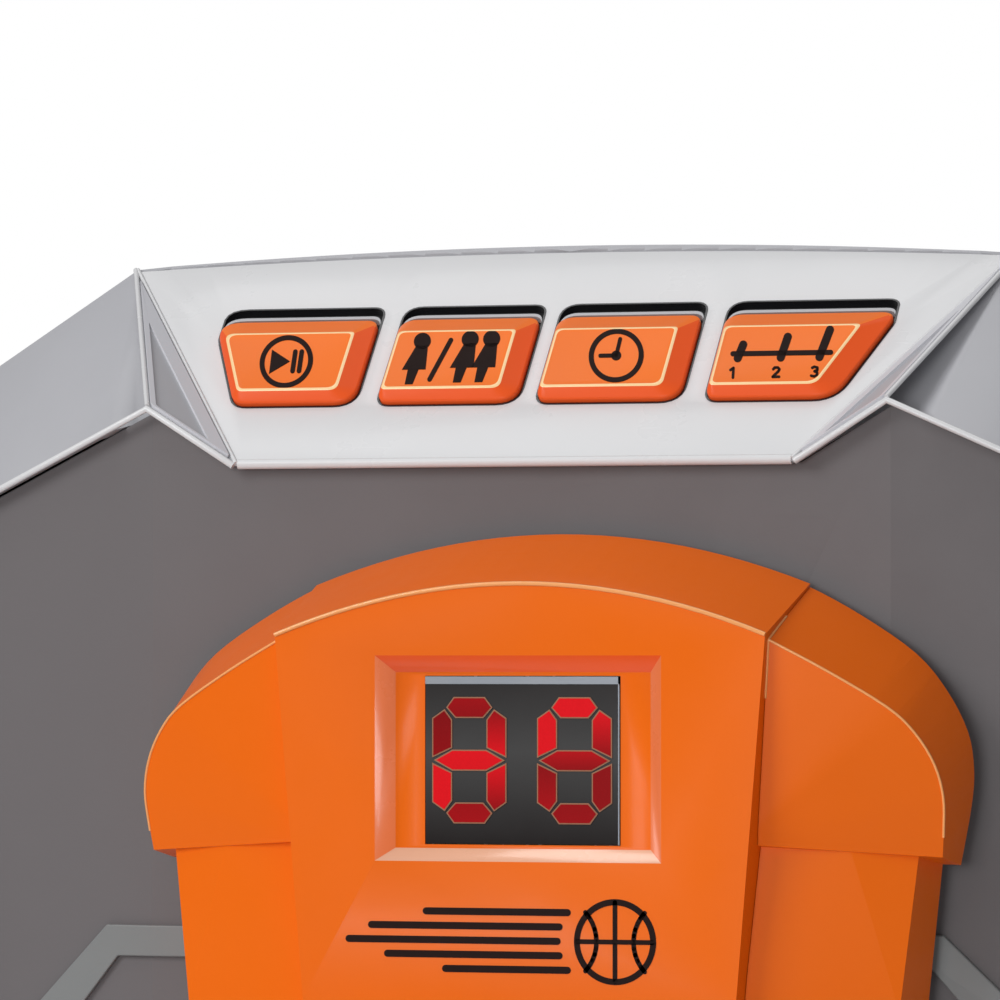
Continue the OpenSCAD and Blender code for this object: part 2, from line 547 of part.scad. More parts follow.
// Outlines of the seven bars of a digit: one level bar with pointed ends, then an end bar and an upright
// bar of the upper half, which are mirrored downwards
function level_bar(half_w, t) = [[-half_w + bar_gap, 0], [-half_w + t, -t / 2], [half_w - t, -t / 2],
    [half_w - bar_gap, 0], [half_w - t, t / 2], [-half_w + t, t / 2]];
function end_bar(half_w, half_h, t) = let (g = bar_gap) [[-half_w + t * 0.62 + g, half_h - t * 0.5],
    [-half_w + t * 1.08 + g, half_h - t], [half_w - t * 1.08 - g, half_h - t],
    [half_w - t * 0.62 - g, half_h - t * 0.5], [half_w - t - g, half_h], [-half_w + t + g, half_h]];
function upright_bar(half_w, half_h, t) = let (g = bar_gap) [[-half_w, g * 1.5], [-half_w + t, t / 2 + g],
    [-half_w + t, half_h - t - g], [-half_w + t * 0.62, half_h - t * 0.5 - g], [-half_w, half_h - t]];
module digit() {
    upright_plate(level_bar(digit_w / 2, bar_w), bar_front, bar_front + 0.3);
    for (k = [0, 1]) mirror([0, 0, k]) {
        upright_plate(end_bar(digit_w / 2, digit_h / 2, bar_w), bar_front, bar_front + 0.3);
        for (i = [0, 1]) mirror([i, 0, 0])
            upright_plate(upright_bar(digit_w / 2, digit_h / 2, bar_w), bar_front, bar_front + 0.3);
    }
}
module digit_segments() color(led_red) at_unit() for (s = [-0.5, 0.5])
    translate([s * digit_gap, 0, window_mid]) digit();
module display_window() color(black_plastic) at_unit() upright_box([-window_w / 2, window_w / 2],
    [-unit_depth + recess_depth - 0.3, -unit_depth + recess_depth + 2.2],
    [window_mid - window_h / 2, window_mid + window_h / 2]);
module display_board() color(circuit_green) at_unit() upright_box([-40, 40],
    [-unit_depth + recess_depth + 2.3, -unit_depth + recess_depth + 3.9], [window_mid - 28, window_mid + 28]);

// ---- hoop ----
module at_rim() at_unit() translate([0, -rim_reach, -rim_drop]) children();
module rim_tube(grow) rotate_extrude($fn = 72) translate([rim_r, 0]) circle(r = rim_tube_r + grow, $fn = 32);
hook_count = 12;
module rim() color(orange) at_rim() {
    rim_tube(0);
    for (i = [0:hook_count - 1]) rotate(360 / hook_count * (i + 0.5))
        translate([rim_r, 0, -rim_tube_r - 4]) cylinder(r = 1.6, h = 6, $fn = 16);
}
bracket_y = [-unit_depth - 4, -unit_depth];
pin_y = -57;
pin_z = -203;
pin_r = 1.5;
module rim_bracket() color(orange) at_unit() difference() {
    union() {
        upright_box([-34, 34], bracket_y, [-211, -166]);
        for (s = [-1, 1]) {
            upright_box([s * 26 - 4, s * 26 + 4], [-rim_reach + rim_r + 3, bracket_y[1]],
                [-rim_drop - 5, -rim_drop + 5]);
            upright_box([s * 26 - 2.5, s * 26 + 2.5], [pin_y - 4, bracket_y[1]], [pin_z - 4, pin_z + 4]);
        }
    }
    translate([0, -rim_reach, -rim_drop]) rim_tube(0.05);
    rod_x(pin_y, pin_z, pin_r, [-40, 40]);
}
module rim_screws() color(steel) at_unit() for (x = [-12, 12], z = [-205, -172])
    rod_y(x, z, 3.5, [bracket_y[0] - 2, bracket_y[0]]);
net_top = -rim_tube_r - 4.4;
net_foot_r = 62;
net_t = 2;
module net() color("white") at_rim() difference() {
    rotate_extrude($fn = 72) polygon([[rim_r, net_top], [rim_r - 15, net_top - 45],
        [net_foot_r + 6, net_top - 110], [net_foot_r, net_top - net_len],
        [net_foot_r - net_t, net_top - net_len], [net_foot_r + 6 - net_t, net_top - 110],
        [rim_r - 15 - net_t, net_top - 45], [rim_r - net_t, net_top]]);
    upright_box([-24, 24], [rim_r - 32, rim_r + 10], [net_top - 40, net_top + 1]);
}
module flap_pin() color(steel) at_unit() rod_x(pin_y, pin_z, pin_r, [-30, 30]);
module score_flap() color(black_plastic) at_unit() difference() {
    union() {
        rod_x(pin_y, pin_z, 3, [-22, 22]);
        upright_box([-17, 17], [-94, pin_y], [pin_z - 1, pin_z + 1]);
    }
    rod_x(pin_y, pin_z, pin_r + 0.05, [-40, 40]);
}

base_shell();
base_plate();
ballast_weight();
rubber_feet();
base_screws();
pole_socket();
socket_screws();
lower_tube();
clamp_collar();
clamp_knob();
upper_tube();
guide_bush();
tube_cap();
head_bracket();
bracket_bolts();
frame_shell();
console_cover();
back_cover();
cover_screws();
front_panel();
arch_stripe();
key_board();
key_membrane();
main_board();
board_chips();
speaker();
battery_box();
battery_cells();
battery_contacts();
battery_door();
door_screw();
switch_body();
power_switch();
guide_rods();
rod_blocks();
drive_frame();
gear_motor();
drive_pinion();
drive_shaft();
start_button();
players_button();
timer_button();
level_button();
carriage();
carriage_bushes();
slide_rack();
score_face();
left_side_cover();
right_side_cover();
rear_plate();
display_window();
digit_segments();
display_board();
rim_bracket();
rim();
net();
rim_screws();
score_flap();
flap_pin();
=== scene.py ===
"""Looks of a free-standing basketball hoop machine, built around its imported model.

Every piece is made in metres in the model's own frame: +Z up, the player at -Y, the floor at Z = 0.
"""

import json
import math

import bmesh
import bpy
from mathutils import Matrix, Vector

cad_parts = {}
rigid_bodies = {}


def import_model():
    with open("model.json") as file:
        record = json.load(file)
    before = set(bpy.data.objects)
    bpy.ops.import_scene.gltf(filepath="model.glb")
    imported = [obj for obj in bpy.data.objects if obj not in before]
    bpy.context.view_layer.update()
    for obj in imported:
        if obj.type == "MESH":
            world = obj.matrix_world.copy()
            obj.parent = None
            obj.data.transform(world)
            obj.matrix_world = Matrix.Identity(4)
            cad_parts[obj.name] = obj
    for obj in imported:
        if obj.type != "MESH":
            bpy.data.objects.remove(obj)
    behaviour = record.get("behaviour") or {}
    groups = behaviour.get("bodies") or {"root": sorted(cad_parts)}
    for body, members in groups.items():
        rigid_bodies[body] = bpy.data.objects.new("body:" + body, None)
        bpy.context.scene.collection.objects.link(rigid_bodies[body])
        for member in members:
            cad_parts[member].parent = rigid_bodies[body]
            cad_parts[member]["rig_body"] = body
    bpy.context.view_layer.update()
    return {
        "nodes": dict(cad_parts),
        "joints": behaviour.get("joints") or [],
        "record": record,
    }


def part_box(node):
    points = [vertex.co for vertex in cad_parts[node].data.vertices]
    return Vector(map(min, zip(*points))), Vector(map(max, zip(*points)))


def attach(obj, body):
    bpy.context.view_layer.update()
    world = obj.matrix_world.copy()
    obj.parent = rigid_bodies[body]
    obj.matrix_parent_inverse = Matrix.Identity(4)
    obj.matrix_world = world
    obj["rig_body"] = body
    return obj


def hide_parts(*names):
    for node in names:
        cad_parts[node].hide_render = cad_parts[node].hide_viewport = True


bl_info = {
    "name": "Basketball hoop machine",
    "version": (1, 0, 0),
    "blender": (4, 5, 0),
    "location": "3D View > Sidebar > Hoop",
    "description": "Builds the looks of a free-standing electronic basketball hoop machine",
    "category": "Object",
}

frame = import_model()
MM = 0.001


def joint(name):
    """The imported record's entry for one joint."""
    return next(entry for entry in frame["joints"] if entry["name"] == name)


def node_centre(name):
    """The middle of a model node's box."""
    low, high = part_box(name)
    return (low + high) / 2


# The head's datum lies on the bezel's front edge, the unit's on the same edge at the middle of the unit.
HEAD_FROM_PINION = (0, -24, 41)
CONSOLE_RISE = 11.8
RIM_TUBE = 0.006

PINION = Vector(joint("pinion_turn")["pos_m"])
HEAD = PINION + Vector(HEAD_FROM_PINION) * MM
UNIT = Vector((joint("score_flap_swing")["pos_m"][0], HEAD.y, HEAD.z))
PRESS = Vector(joint("start_press")["axis"])
CONSOLE_TILT = math.atan2(PRESS.y, -PRESS.z)
CONSOLE_FRONT = HEAD + Vector((0, 0, CONSOLE_RISE)) * MM
CONSOLE = Matrix.Translation(CONSOLE_FRONT) @ Matrix.Rotation(CONSOLE_TILT, 4, "X")
CONSOLE_UP = CONSOLE.to_3x3() @ Vector((0, 0, 1))
TO_PLAYER = Matrix.Rotation(math.radians(90), 4, "X")
RIM = node_centre("rim")
RIM.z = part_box("rim")[1].z - RIM_TUBE
RIM_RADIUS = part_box("rim")[1].x - RIM.x - RIM_TUBE


# ---------------------------------------------------------------- settings

def colour(name, default, description):
    """A colour setting."""
    return bpy.props.FloatVectorProperty(
        name=name, description=description, default=default, size=3, min=0.0, max=1.0, subtype="COLOR")


def length(name, default, description, low=0.0, high=1.0):
    """A length setting."""
    return bpy.props.FloatProperty(
        name=name, description=description, default=default, min=low, max=high, unit="LENGTH")


class HoopColours(bpy.types.PropertyGroup):
    """Colours of the mouldings and prints."""
    console: colour("Console", (0.70, 0.70, 0.71), "Light silver of the button console")
    frame: colour("Frame", (0.43, 0.43, 0.455), "Silver grey of the bezel and its ears")
    panel: colour("Panel", (0.142, 0.130, 0.134), "Dark grey of the front panel")
    stripe: colour("Stripe", (0.215, 0.222, 0.222), "Mid grey of the arch on the panel")
    unit: colour("Unit", (0.88, 0.150, 0.004), "Orange of the score unit and the rim")
    key: colour("Keys", (0.93, 0.195, 0.030), "Light orange of the keys")
    # The pale line round a key's face is a painted highlight.
    key_highlight: colour("Key highlight", (1.0, 0.68, 0.34), "Pale line round a key's face")
    ink: colour("Print", (0.012, 0.005, 0.004), "Dark ink of the pictograms")
    led: colour("Digits", (0.72, 0.004, 0.010), "Red of the display's bars")
    black: colour("Black parts", (0.022, 0.022, 0.024), "Black mouldings")
    base: colour("Base", (0.075, 0.073, 0.077), "Dark grey of the base and back cover")
    cord: colour("Net", (0.82, 0.81, 0.78), "White of the net's cord")


class HoopSizes(bpy.types.PropertyGroup):
    """Sizes of the details that the looks add to the model."""
    # The pale bead round the panel is a painted highlight.
    bead: length("Bead width", 0.0022, "Width of the pale bead round the panel", 0.0005, 0.004)
    print_rise: length("Print thickness", 0.00015, "How far a print stands on its surface", 0.00005, 0.0004)
    net_cord: length("Net cord", 0.0024, "Diameter of the net's cord", 0.001, 0.004)
    floor: length("Floor", 9.0, "Width of the floor", 2.0, 20.0)


def colours():
    """The colour settings of this scene."""
    return bpy.context.scene.hoop_colours


def sizes():
    """The size settings of this scene."""
    return bpy.context.scene.hoop_sizes


# ---------------------------------------------------------------- shader maths

class Value:
    """A shader value; using it in an expression adds the Math nodes that work it out."""

    def __init__(self, finish, socket):
        self.finish = finish
        self.socket = socket

    def math(self, operation, *others):
        return self.finish.math(operation, self, *others)

    def __add__(self, other):
        return self.math("ADD", other)

    def __sub__(self, other):
        return self.math("SUBTRACT", other)

    def __rsub__(self, other):
        return self.finish.math("SUBTRACT", other, self)

    def __mul__(self, other):
        return self.math("MULTIPLY", other)

    def __truediv__(self, other):
        return self.math("DIVIDE", other)

    def __gt__(self, other):
        return self.math("GREATER_THAN", other)

    __radd__ = __add__
    __rmul__ = __mul__


class Finish:
    """One material and the nodes in it."""

    def __init__(self, name):
        self.material = bpy.data.materials.new(name)
        self.material.use_nodes = True
        self.tree = self.material.node_tree
        self.tree.nodes.clear()

    def node(self, kind, settings=None, inputs=None):
        """A node of a kind, with its settings made first and then its sockets' values or links."""
        node = self.tree.nodes.new(kind)
        for key, value in (settings or {}).items():
            if key == "stops":
                self.set_stops(node.color_ramp, value)
            else:
                setattr(node, key, value)
        for key, value in (inputs or {}).items():
            if isinstance(value, Value):
                self.tree.links.new(value.socket, node.inputs[key])
            else:
                node.inputs[key].default_value = value
        return node

    def set_stops(self, ramp, stops):
        """Places a ramp's stops, given as pairs of place and grey or colour."""
        while len(ramp.elements) < len(stops):
            ramp.elements.new(0.5)
        for element, (place, shade) in zip(ramp.elements, stops):
            element.position = place
            element.color = (shade, shade, shade, 1) if isinstance(shade, float) else (*shade, 1)

    def out(self, node, socket=0):
        return Value(self, node.outputs[socket])

    def math(self, operation, *values):
        return self.out(self.node("ShaderNodeMath", {"operation": operation}, dict(enumerate(values))))

    def place(self, scale=(1, 1, 1), turn=(0, 0, 0), shift=(0, 0, 0)):
        """Object coordinates, stretched, turned and shifted."""
        source = self.out(self.node("ShaderNodeTexCoord"), "Object")
        return self.out(self.node("ShaderNodeMapping", None, {
            "Vector": source, "Scale": scale, "Rotation": turn, "Location": shift}))

    def noise(self, scale, detail=3.0, where=None, rough=0.5):
        """A soft noise from 0 to 1."""
        return self.out(self.node("ShaderNodeTexNoise", None, {
            "Vector": where or self.place(), "Scale": scale, "Detail": detail, "Roughness": rough}), 0)

    def voronoi(self, scale, feature="F1", where=None, randomness=1.0):
        """Distance to the cells of a scattered pattern."""
        return self.out(self.node("ShaderNodeTexVoronoi", {"feature": feature}, {
            "Vector": where or self.place(), "Scale": scale, "Randomness": randomness}), "Distance")

    def axis(self, letter, where=None):
        """One coordinate of a place on the piece."""
        return self.out(self.node("ShaderNodeSeparateXYZ", None, {0: where or self.place()}), letter)

    def ramp(self, value, stops):
        """A value run through stops of grey."""
        return self.out(self.node("ShaderNodeValToRGB", {"stops": stops}, {0: value}))

    def blend(self, first, second, share):
        """A mix of two colours."""
        def full(shade):
            return shade if isinstance(shade, Value) else (*shade, 1)
        return self.out(self.node("ShaderNodeMix", {"data_type": "RGBA"}, {
            0: share, 6: full(first), 7: full(second)}), 2)

    def relief(self, height, depth, before=None, strength=1.0):
        """Bump from a height between 0 and 1, where 1 stands depth metres high."""
        inputs = {"Height": height, "Distance": depth, "Strength": strength}
        if before is not None:
            inputs["Normal"] = before
        return self.out(self.node("ShaderNodeBump", None, inputs))

    def done(self, base, roughness, normal=None, **extra):
        """Joins everything to the shader and returns the material."""
        inputs = {"Base Color": base if isinstance(base, Value) else (*base, 1), "Roughness": roughness}
        if normal is not None:
            inputs["Normal"] = normal
        for key, value in extra.items():
            inputs[key.replace("_", " ")] = value
        shader = self.node("ShaderNodeBsdfPrincipled", None, inputs)
        self.node("ShaderNodeOutputMaterial", None, {"Surface": self.out(shader)})
        return self.material


def shade(base, factor):
    """A colour made darker or lighter."""
    return tuple(min(1.0, channel * factor) for channel in base)


made_finishes = {}


def finish_named(name, build, *args, **kwargs):
    """A finish, made once and then shared."""
    if name not in made_finishes:
        made_finishes[name] = build(Finish(name), *args, **kwargs)
    return made_finishes[name]


# ---------------------------------------------------------------- finishes

def moulded(f, base, roughness=0.38, grain=1400.0, grain_depth=0.000012, coat=0.0, mottle=0.06, dust=0.0,
            specular=0.35):
    """Injection-moulded plastic: flow mottling, a fine spark-eroded grain, handling marks in the gloss."""
    flow = f.noise(9.0, 4.0)
    cloud = f.noise(60.0, 3.0)
    tint = f.blend(shade(base, 1 - mottle), shade(base, 1 + mottle), flow * 0.7 + cloud * 0.3)
    if dust:
        settled = f.ramp(f.noise(28.0, 6.0, rough=0.65), [(0.45, 0.0), (0.75, 1.0)])
        tint = f.blend(tint, (0.36, 0.35, 0.33), settled * dust)
    smudge = f.ramp(f.noise(34.0, 5.0, rough=0.6), [(0.35, 0.0), (0.7, 1.0)])
    streaks = f.noise(40.0, 2.0, f.place(scale=(1, 14, 14), turn=(0.3, 0.5, 0.2)))
    hair = f.ramp(streaks, [(0.66, 0.0), (0.7, 1.0)])
    surface = f.relief(cloud, 0.00004, f.relief(f.noise(grain, 2.0), grain_depth))
    return f.done(tint, smudge * 0.09 + hair * 0.05 + (roughness - 0.04), surface, Coat_Weight=coat,
                  Coat_Roughness=0.12, Specular_IOR_Level=specular)


def lit_bars(f, base):
    """Red display bars: each one brighter towards one end, with a faint honeycomb of the diffuser."""
    sweep = f.out(f.node("ShaderNodeAttribute", {"attribute_name": "glow"}), "Fac")
    cells = f.ramp(f.voronoi(1500.0), [(0.2, 1.0), (0.7, 0.9)])
    tint = f.blend(shade(base, 0.30), shade(base, 0.72), sweep * cells)
    return f.done(tint, cells * 0.1 + 0.22, f.relief(cells, 0.00002),
                  Emission_Color=f.blend((0.0, 0.0, 0.0), base, sweep), Emission_Strength=0.35,
                  Specular_IOR_Level=0.1)


def smoked(f, low, high):
    """The display's smoked black block, a little greyer halfway up where it catches the light."""
    height = (f.axis("Z") - low) / (high - low)
    glow = f.ramp(height, [(0.0, 0.0), (0.55, 1.0), (1.0, 0.25)])
    smear = f.noise(45.0, 4.0)
    tint = f.blend((0.012, 0.009, 0.009), (0.060, 0.060, 0.060), glow)
    return f.done(tint, smear * 0.14 + 0.16, f.relief(f.noise(700.0, 2.0), 0.000006), Coat_Weight=0.08,
                  Coat_Roughness=0.2, Specular_IOR_Level=0.2)


def ink(f, base):
    """Pad-printed ink: matt, with pinholes and a slightly raised film."""
    holes = f.ramp(f.voronoi(2600.0), [(0.0, 1.0), (0.16, 0.0)])
    tint = f.blend(base, shade(base, 3.0), holes * 0.5 + f.noise(300.0, 3.0) * 0.2)
    film = f.relief(f.noise(1800.0, 2.0), 0.000008)
    return f.done(tint, f.noise(240.0, 3.0) * 0.16 + 0.42, film, Specular_IOR_Level=0.1)


def coated_tube(f, base):
    """Powder-coated steel tube: orange-peel skin with wear rings where the clamp has been."""
    peel = f.noise(420.0, 3.0)
    ring = f.ramp(f.noise(55.0, 2.0, f.place(scale=(0.15, 0.15, 1.0))), [(0.60, 0.0), (0.68, 1.0)])
    tint = f.blend(base, shade(base, 0.72), ring * 0.5 + f.noise(22.0, 5.0) * 0.25)
    return f.done(tint, peel * 0.12 + ring * 0.12 + 0.26, f.relief(peel, 0.00006), Metallic=0.15,
                  Coat_Weight=0.35, Coat_Roughness=0.2)


def drawn_steel(f, base=(0.56, 0.57, 0.59), along="Z", roughness=0.24):
    """Drawn or ground steel: fine lines along one axis, with faint stains."""
    stretch = {"X": (1, 60, 60), "Y": (60, 1, 60), "Z": (60, 60, 1)}[along]
    lines = f.noise(60.0, 4.0, f.place(scale=stretch), 0.7)
    stain = f.ramp(f.noise(26.0, 5.0, rough=0.6), [(0.5, 0.0), (0.8, 1.0)])
    tint = f.blend(f.blend(shade(base, 0.86), base, lines), (0.34, 0.31, 0.27), stain * 0.25)
    return f.done(tint, lines * 0.16 + stain * 0.12 + roughness, f.relief(lines, 0.00001), Metallic=1.0)


def plated_screw(f):
    """Zinc-plated steel with the milky blue and yellow of the passivation."""
    hue = f.noise(180.0, 3.0)
    tint = f.blend((0.50, 0.52, 0.56), (0.62, 0.59, 0.48), hue)
    crystals = f.relief(f.noise(900.0, 2.0), 0.00002)
    return f.done(tint, f.noise(500.0, 3.0) * 0.2 + 0.22, crystals, Metallic=1.0)


def rough_casting(f):
    """A sand-cast iron block with a thin black paint."""
    sand = f.noise(260.0, 6.0, rough=0.7)
    pits = f.ramp(f.voronoi(190.0), [(0.0, 0.0), (0.3, 1.0)])
    tint = f.blend((0.035, 0.034, 0.035), (0.10, 0.075, 0.06), f.ramp(sand, [(0.5, 0.0), (0.72, 1.0)]))
    return f.done(tint, sand * 0.3 + 0.5, f.relief(sand * 0.7 + pits * 0.3, 0.0006), Metallic=0.3)


def rubber(f, base=(0.020, 0.020, 0.021)):
    """Moulded rubber: matt, with bloom and fine pores."""
    bloom = f.ramp(f.noise(50.0, 5.0), [(0.4, 0.0), (0.75, 1.0)])
    pores = f.voronoi(1300.0)
    tint = f.blend(base, shade(base, 3.2), bloom * 0.35)
    return f.done(tint, bloom * 0.12 + 0.68, f.relief(pores, 0.00003))


def circuit(f):
    """Green solder mask over copper tracks, with tinned pads."""
    tracks = f.out(f.node("ShaderNodeTexBrick", {"offset": 0.5, "squash": 0.6, "squash_frequency": 3}, {
        "Vector": f.place(turn=(math.radians(90), 0, 0)), "Scale": 60.0, "Mortar Size": 0.012,
        "Color1": (0, 0, 0, 1), "Color2": (0, 0, 0, 1), "Mortar": (1, 1, 1, 1)}))
    pads = f.voronoi(240.0, randomness=0.35) > 0.16
    mask = f.blend((0.008, 0.110, 0.040), (0.022, 0.210, 0.075), tracks)
    tint = f.blend((0.62, 0.60, 0.52), mask, pads)
    return f.done(tint, pads * 0.12 + 0.2, f.relief(tracks, 0.00004), Coat_Weight=0.5)


# The strands round a cord, and how fast they turn along it, in radians a metre
STRANDS = 3
STRAND_TURNS = 9000.0


def twisted_cord(f, base):
    """Braided white cord: strands that run round it at a slant, from the curve's own UV map."""
    cord_map = f.out(f.node("ShaderNodeUVMap", {"uv_map": "cord_uv"}))
    u, v = f.axis("X", cord_map), f.axis("Y", cord_map)
    around, along = u * (STRANDS * 2 * math.pi), v * STRAND_TURNS
    strand = f.math("SINE", around + along) * 0.5 + 0.5
    cross = f.math("SINE", around - along) * 0.5 + 0.5
    weave = strand * 0.5 + cross * 0.5
    soil = f.noise(30.0, 5.0)
    # Darker in the grooves between the strands as painted shade, and darker where the soil noise is low as
    # dirt.
    tint = f.blend(shade(base, 0.62), base, weave * 0.6 + soil * 0.4)
    return f.done(tint, weave * 0.1 + 0.7, f.relief(weave, 0.00035), Sheen_Weight=0.3)


def printed_sleeve(f):
    """A battery's shrink sleeve: copper-coloured band over black, without any lettering."""
    low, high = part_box("battery_cells")
    share = (f.axis("X") - low.x) / ((high.x - low.x) / 2)
    turn = share - f.math("FLOOR", share)
    band = f.ramp(turn, [(0.0, 1.0), (0.3, 1.0), (0.31, 0.0), (1.0, 0.0)])
    tint = f.blend((0.02, 0.02, 0.022), (0.55, 0.27, 0.07), band)
    return f.done(tint, f.noise(90.0, 3.0) * 0.1 + 0.2, f.relief(f.noise(60.0, 2.0), 0.00005), Metallic=0.4,
                  Coat_Weight=0.7)


def plastic(name, base, **kwargs):
    return finish_named(name, moulded, tuple(base), **kwargs)


def orange_shell():
    return plastic("orange_shell", colours().unit, roughness=0.34, grain=1500.0, grain_depth=0.000006,
                   coat=0.06, mottle=0.03, specular=0.15)


def black_moulding():
    return plastic("black_moulding", colours().black, roughness=0.46, grain=900.0, grain_depth=0.00003)


def base_moulding():
    return plastic("base_moulding", colours().base, roughness=0.52, grain=700.0, grain_depth=0.00006,
                   dust=0.08)


def white_acetal():
    return plastic("white_acetal", (0.74, 0.73, 0.69), roughness=0.34, grain=1500.0)


def dark_ink():
    return finish_named("ink", ink, tuple(colours().ink))


def steel(along="Z"):
    return finish_named("drawn_steel_" + along.lower(), drawn_steel, along=along)


# ---------------------------------------------------------------- mesh helpers

def to_object(name, mesh):
    thing = bpy.data.objects.new(name, mesh)
    bpy.context.scene.collection.objects.link(thing)
    return thing


def from_bmesh(name, build, material, smooth=35.0):
    """An object from a bmesh, smooth except where faces meet at more than an angle."""
    bmesh.ops.recalc_face_normals(build, faces=build.faces)
    mesh = bpy.data.meshes.new(name)
    build.to_mesh(mesh)
    build.free()
    soften(mesh, smooth)
    thing = to_object(name, mesh)
    for one in material if isinstance(material, (list, tuple)) else [material]:
        mesh.materials.append(one)
    return thing


def soften(mesh, angle):
    """Smooth shading, with sharp edges above an angle in degrees."""
    mesh.shade_smooth()
    mesh.set_sharp_from_angle(angle=math.radians(angle))


def round_edges(thing, width, segments=3, angle=32.0):
    """A live bevel on every edge sharper than an angle, with normals kept flat on the large faces."""
    bevel = thing.modifiers.new("edges", "BEVEL")
    bevel.width = width
    bevel.segments = segments
    bevel.limit_method = "ANGLE"
    bevel.angle_limit = math.radians(angle)
    bevel.miter_outer = "MITER_ARC"
    bevel.harden_normals = True
    return thing


def merged_copy(node, flat=0.0):
    """A bmesh of a model node joined at its corners, and into whole faces up to an angle in degrees."""
    build = bmesh.new()
    build.from_mesh(frame["nodes"][node].data)
    bmesh.ops.remove_doubles(build, verts=build.verts, dist=2e-6)
    if flat:
        bmesh.ops.dissolve_limit(build, angle_limit=math.radians(flat), verts=build.verts, edges=build.edges)
    build.normal_update()
    return build


def settle(thing, body, slot, *nodes):
    """Lets a piece ride on its body and stands it in for model nodes; its slot is not used."""
    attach(thing, body)
    if nodes:
        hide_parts(*nodes)
    return thing


def body_of_node(node):
    """The body that a model node belongs to."""
    return frame["nodes"][node]["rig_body"]


def slot_of_node(node):
    """The record's material slot of a model node."""
    return next(entry["material_slot"] for entry in frame["record"]["subparts"] if entry["node"] == node)


def refined(node, material, width=None, smooth=32.0, segments=3):
    """A finished piece in a node's place: whole faces, rounded edges and a finish."""
    thing = from_bmesh(node + "_finished", merged_copy(node, 0.6 if width else 0.0), material, smooth)
    if width:
        round_edges(thing, width, segments)
    return settle(thing, body_of_node(node), slot_of_node(node), node)


def skin(build, rings, materials=None, closed=False):
    """Adds the faces between neighbouring rings of vertices; each step can have its own material's number."""
    following = rings[1:] + rings[:1] if closed else rings[1:]
    for step, (near, far) in enumerate(zip(rings, following)):
        for i in range(len(near)):
            j = (i + 1) % len(near)
            face = build.faces.new((near[i], near[j], far[j], far[i]))
            face.material_index = materials[step] if materials else 0


def vertex_ring(build, outline, height, place):
    """New vertices along an outline at a height of a place."""
    return [build.verts.new(place @ Vector((*p, height))) for p in outline]


def prism(build, outline, low, high, place):
    """Adds a solid of an outline between two heights."""
    lower, upper = (vertex_ring(build, outline, height, place) for height in (low, high))
    build.faces.new(list(reversed(lower)))
    build.faces.new(upper)
    skin(build, [lower, upper])


def circle(radius, count=32, centre=(0.0, 0.0)):
    return [(centre[0] + radius * math.cos(2 * math.pi * i / count),
             centre[1] + radius * math.sin(2 * math.pi * i / count)) for i in range(count)]


def capsule(start, end, radius, count=8):
    """The outline of a bar with round ends."""
    a, b = Vector(start), Vector(end)
    turn = math.atan2(b.y - a.y, b.x - a.x)
    points = []
    for centre, first in ((b, turn - math.pi / 2), (a, turn + math.pi / 2)):
        for i in range(count + 1):
            angle = first + math.pi * i / count
            points.append((centre.x + radius * math.cos(angle), centre.y + radius * math.sin(angle)))
    return points


def ring_prism(build, outer, inner, low, high, place):
    """Adds a flat ring between two outlines of equal count."""
    skin(build, [vertex_ring(build, outline, height, place) for outline, height in
                 ((outer, low), (outer, high), (inner, high), (inner, low))], closed=True)


def rounded_plate(build, outlines, low, high, bevel, place):
    """Adds a plate with rounded upper edges: the first outline is its rim, the others are its holes."""
    upper, lower = [], []
    for number, outline in enumerate(outlines):
        turn = 1 if number == 0 else -1
        steps = [(0.0, low), (0.0, high - bevel), (0.3 * bevel, high - 0.3 * bevel), (bevel, high)]
        rings = [vertex_ring(build, moved_in(outline, turn * distance), height, place)
                 for distance, height in steps]
        skin(build, rings)
        upper += [build.edges.get((rings[-1][i - 1], rings[-1][i])) for i in range(len(outline))]
        lower += [build.edges.get((rings[0][i - 1], rings[0][i])) for i in range(len(outline))]
    for edges in (upper, lower):
        bmesh.ops.triangle_fill(build, use_beauty=True, use_dissolve=False, edges=edges)


def moved_in(outline, distance):
    """A counter-clockwise outline moved inwards."""
    count = len(outline)
    result = []
    for i in range(count):
        a, b, c = (Vector(outline[(i + k) % count]) for k in (-1, 0, 1))
        before = Vector((-(b - a).y, (b - a).x)).normalized()
        after = Vector((-(c - b).y, (c - b).x)).normalized()
        result.append(tuple(b + (before + after) * distance / (1 + before.dot(after))))
    return result


def moved_sides(corners, distances):
    """A counter-clockwise polygon with each side, from its own corner on, moved in by its own distance."""
    count = len(corners)
    lines = []
    for i in range(count):
        a, b = Vector(corners[i]), Vector(corners[(i + 1) % count])
        along = (b - a).normalized()
        inward = Vector((-along.y, along.x))
        lines.append((a + inward * distances[i], along))
    return [crossing(lines[i - 1], lines[i]) for i in range(count)]


def crossing(first, second):
    """Where two lines cross, each given as a point and a direction."""
    (a, u), (b, v) = first, second
    share = (b - a).cross(v) / u.cross(v)
    return tuple(a + u * share)


def straight_corners(outline, least):
    """A rounded outline's sharp corners and their reaches, found from its sides above a least length."""
    sides = []
    for a, b in zip(outline, outline[1:] + outline[:1]):
        if math.dist(a, b) > least:
            sides.append((Vector(a), (Vector(b) - Vector(a)).normalized()))
    corners = [crossing(sides[i - 1], sides[i]) for i in range(len(sides))]
    return corners, [math.dist(corner, side[0]) for corner, side in zip(corners, sides)]


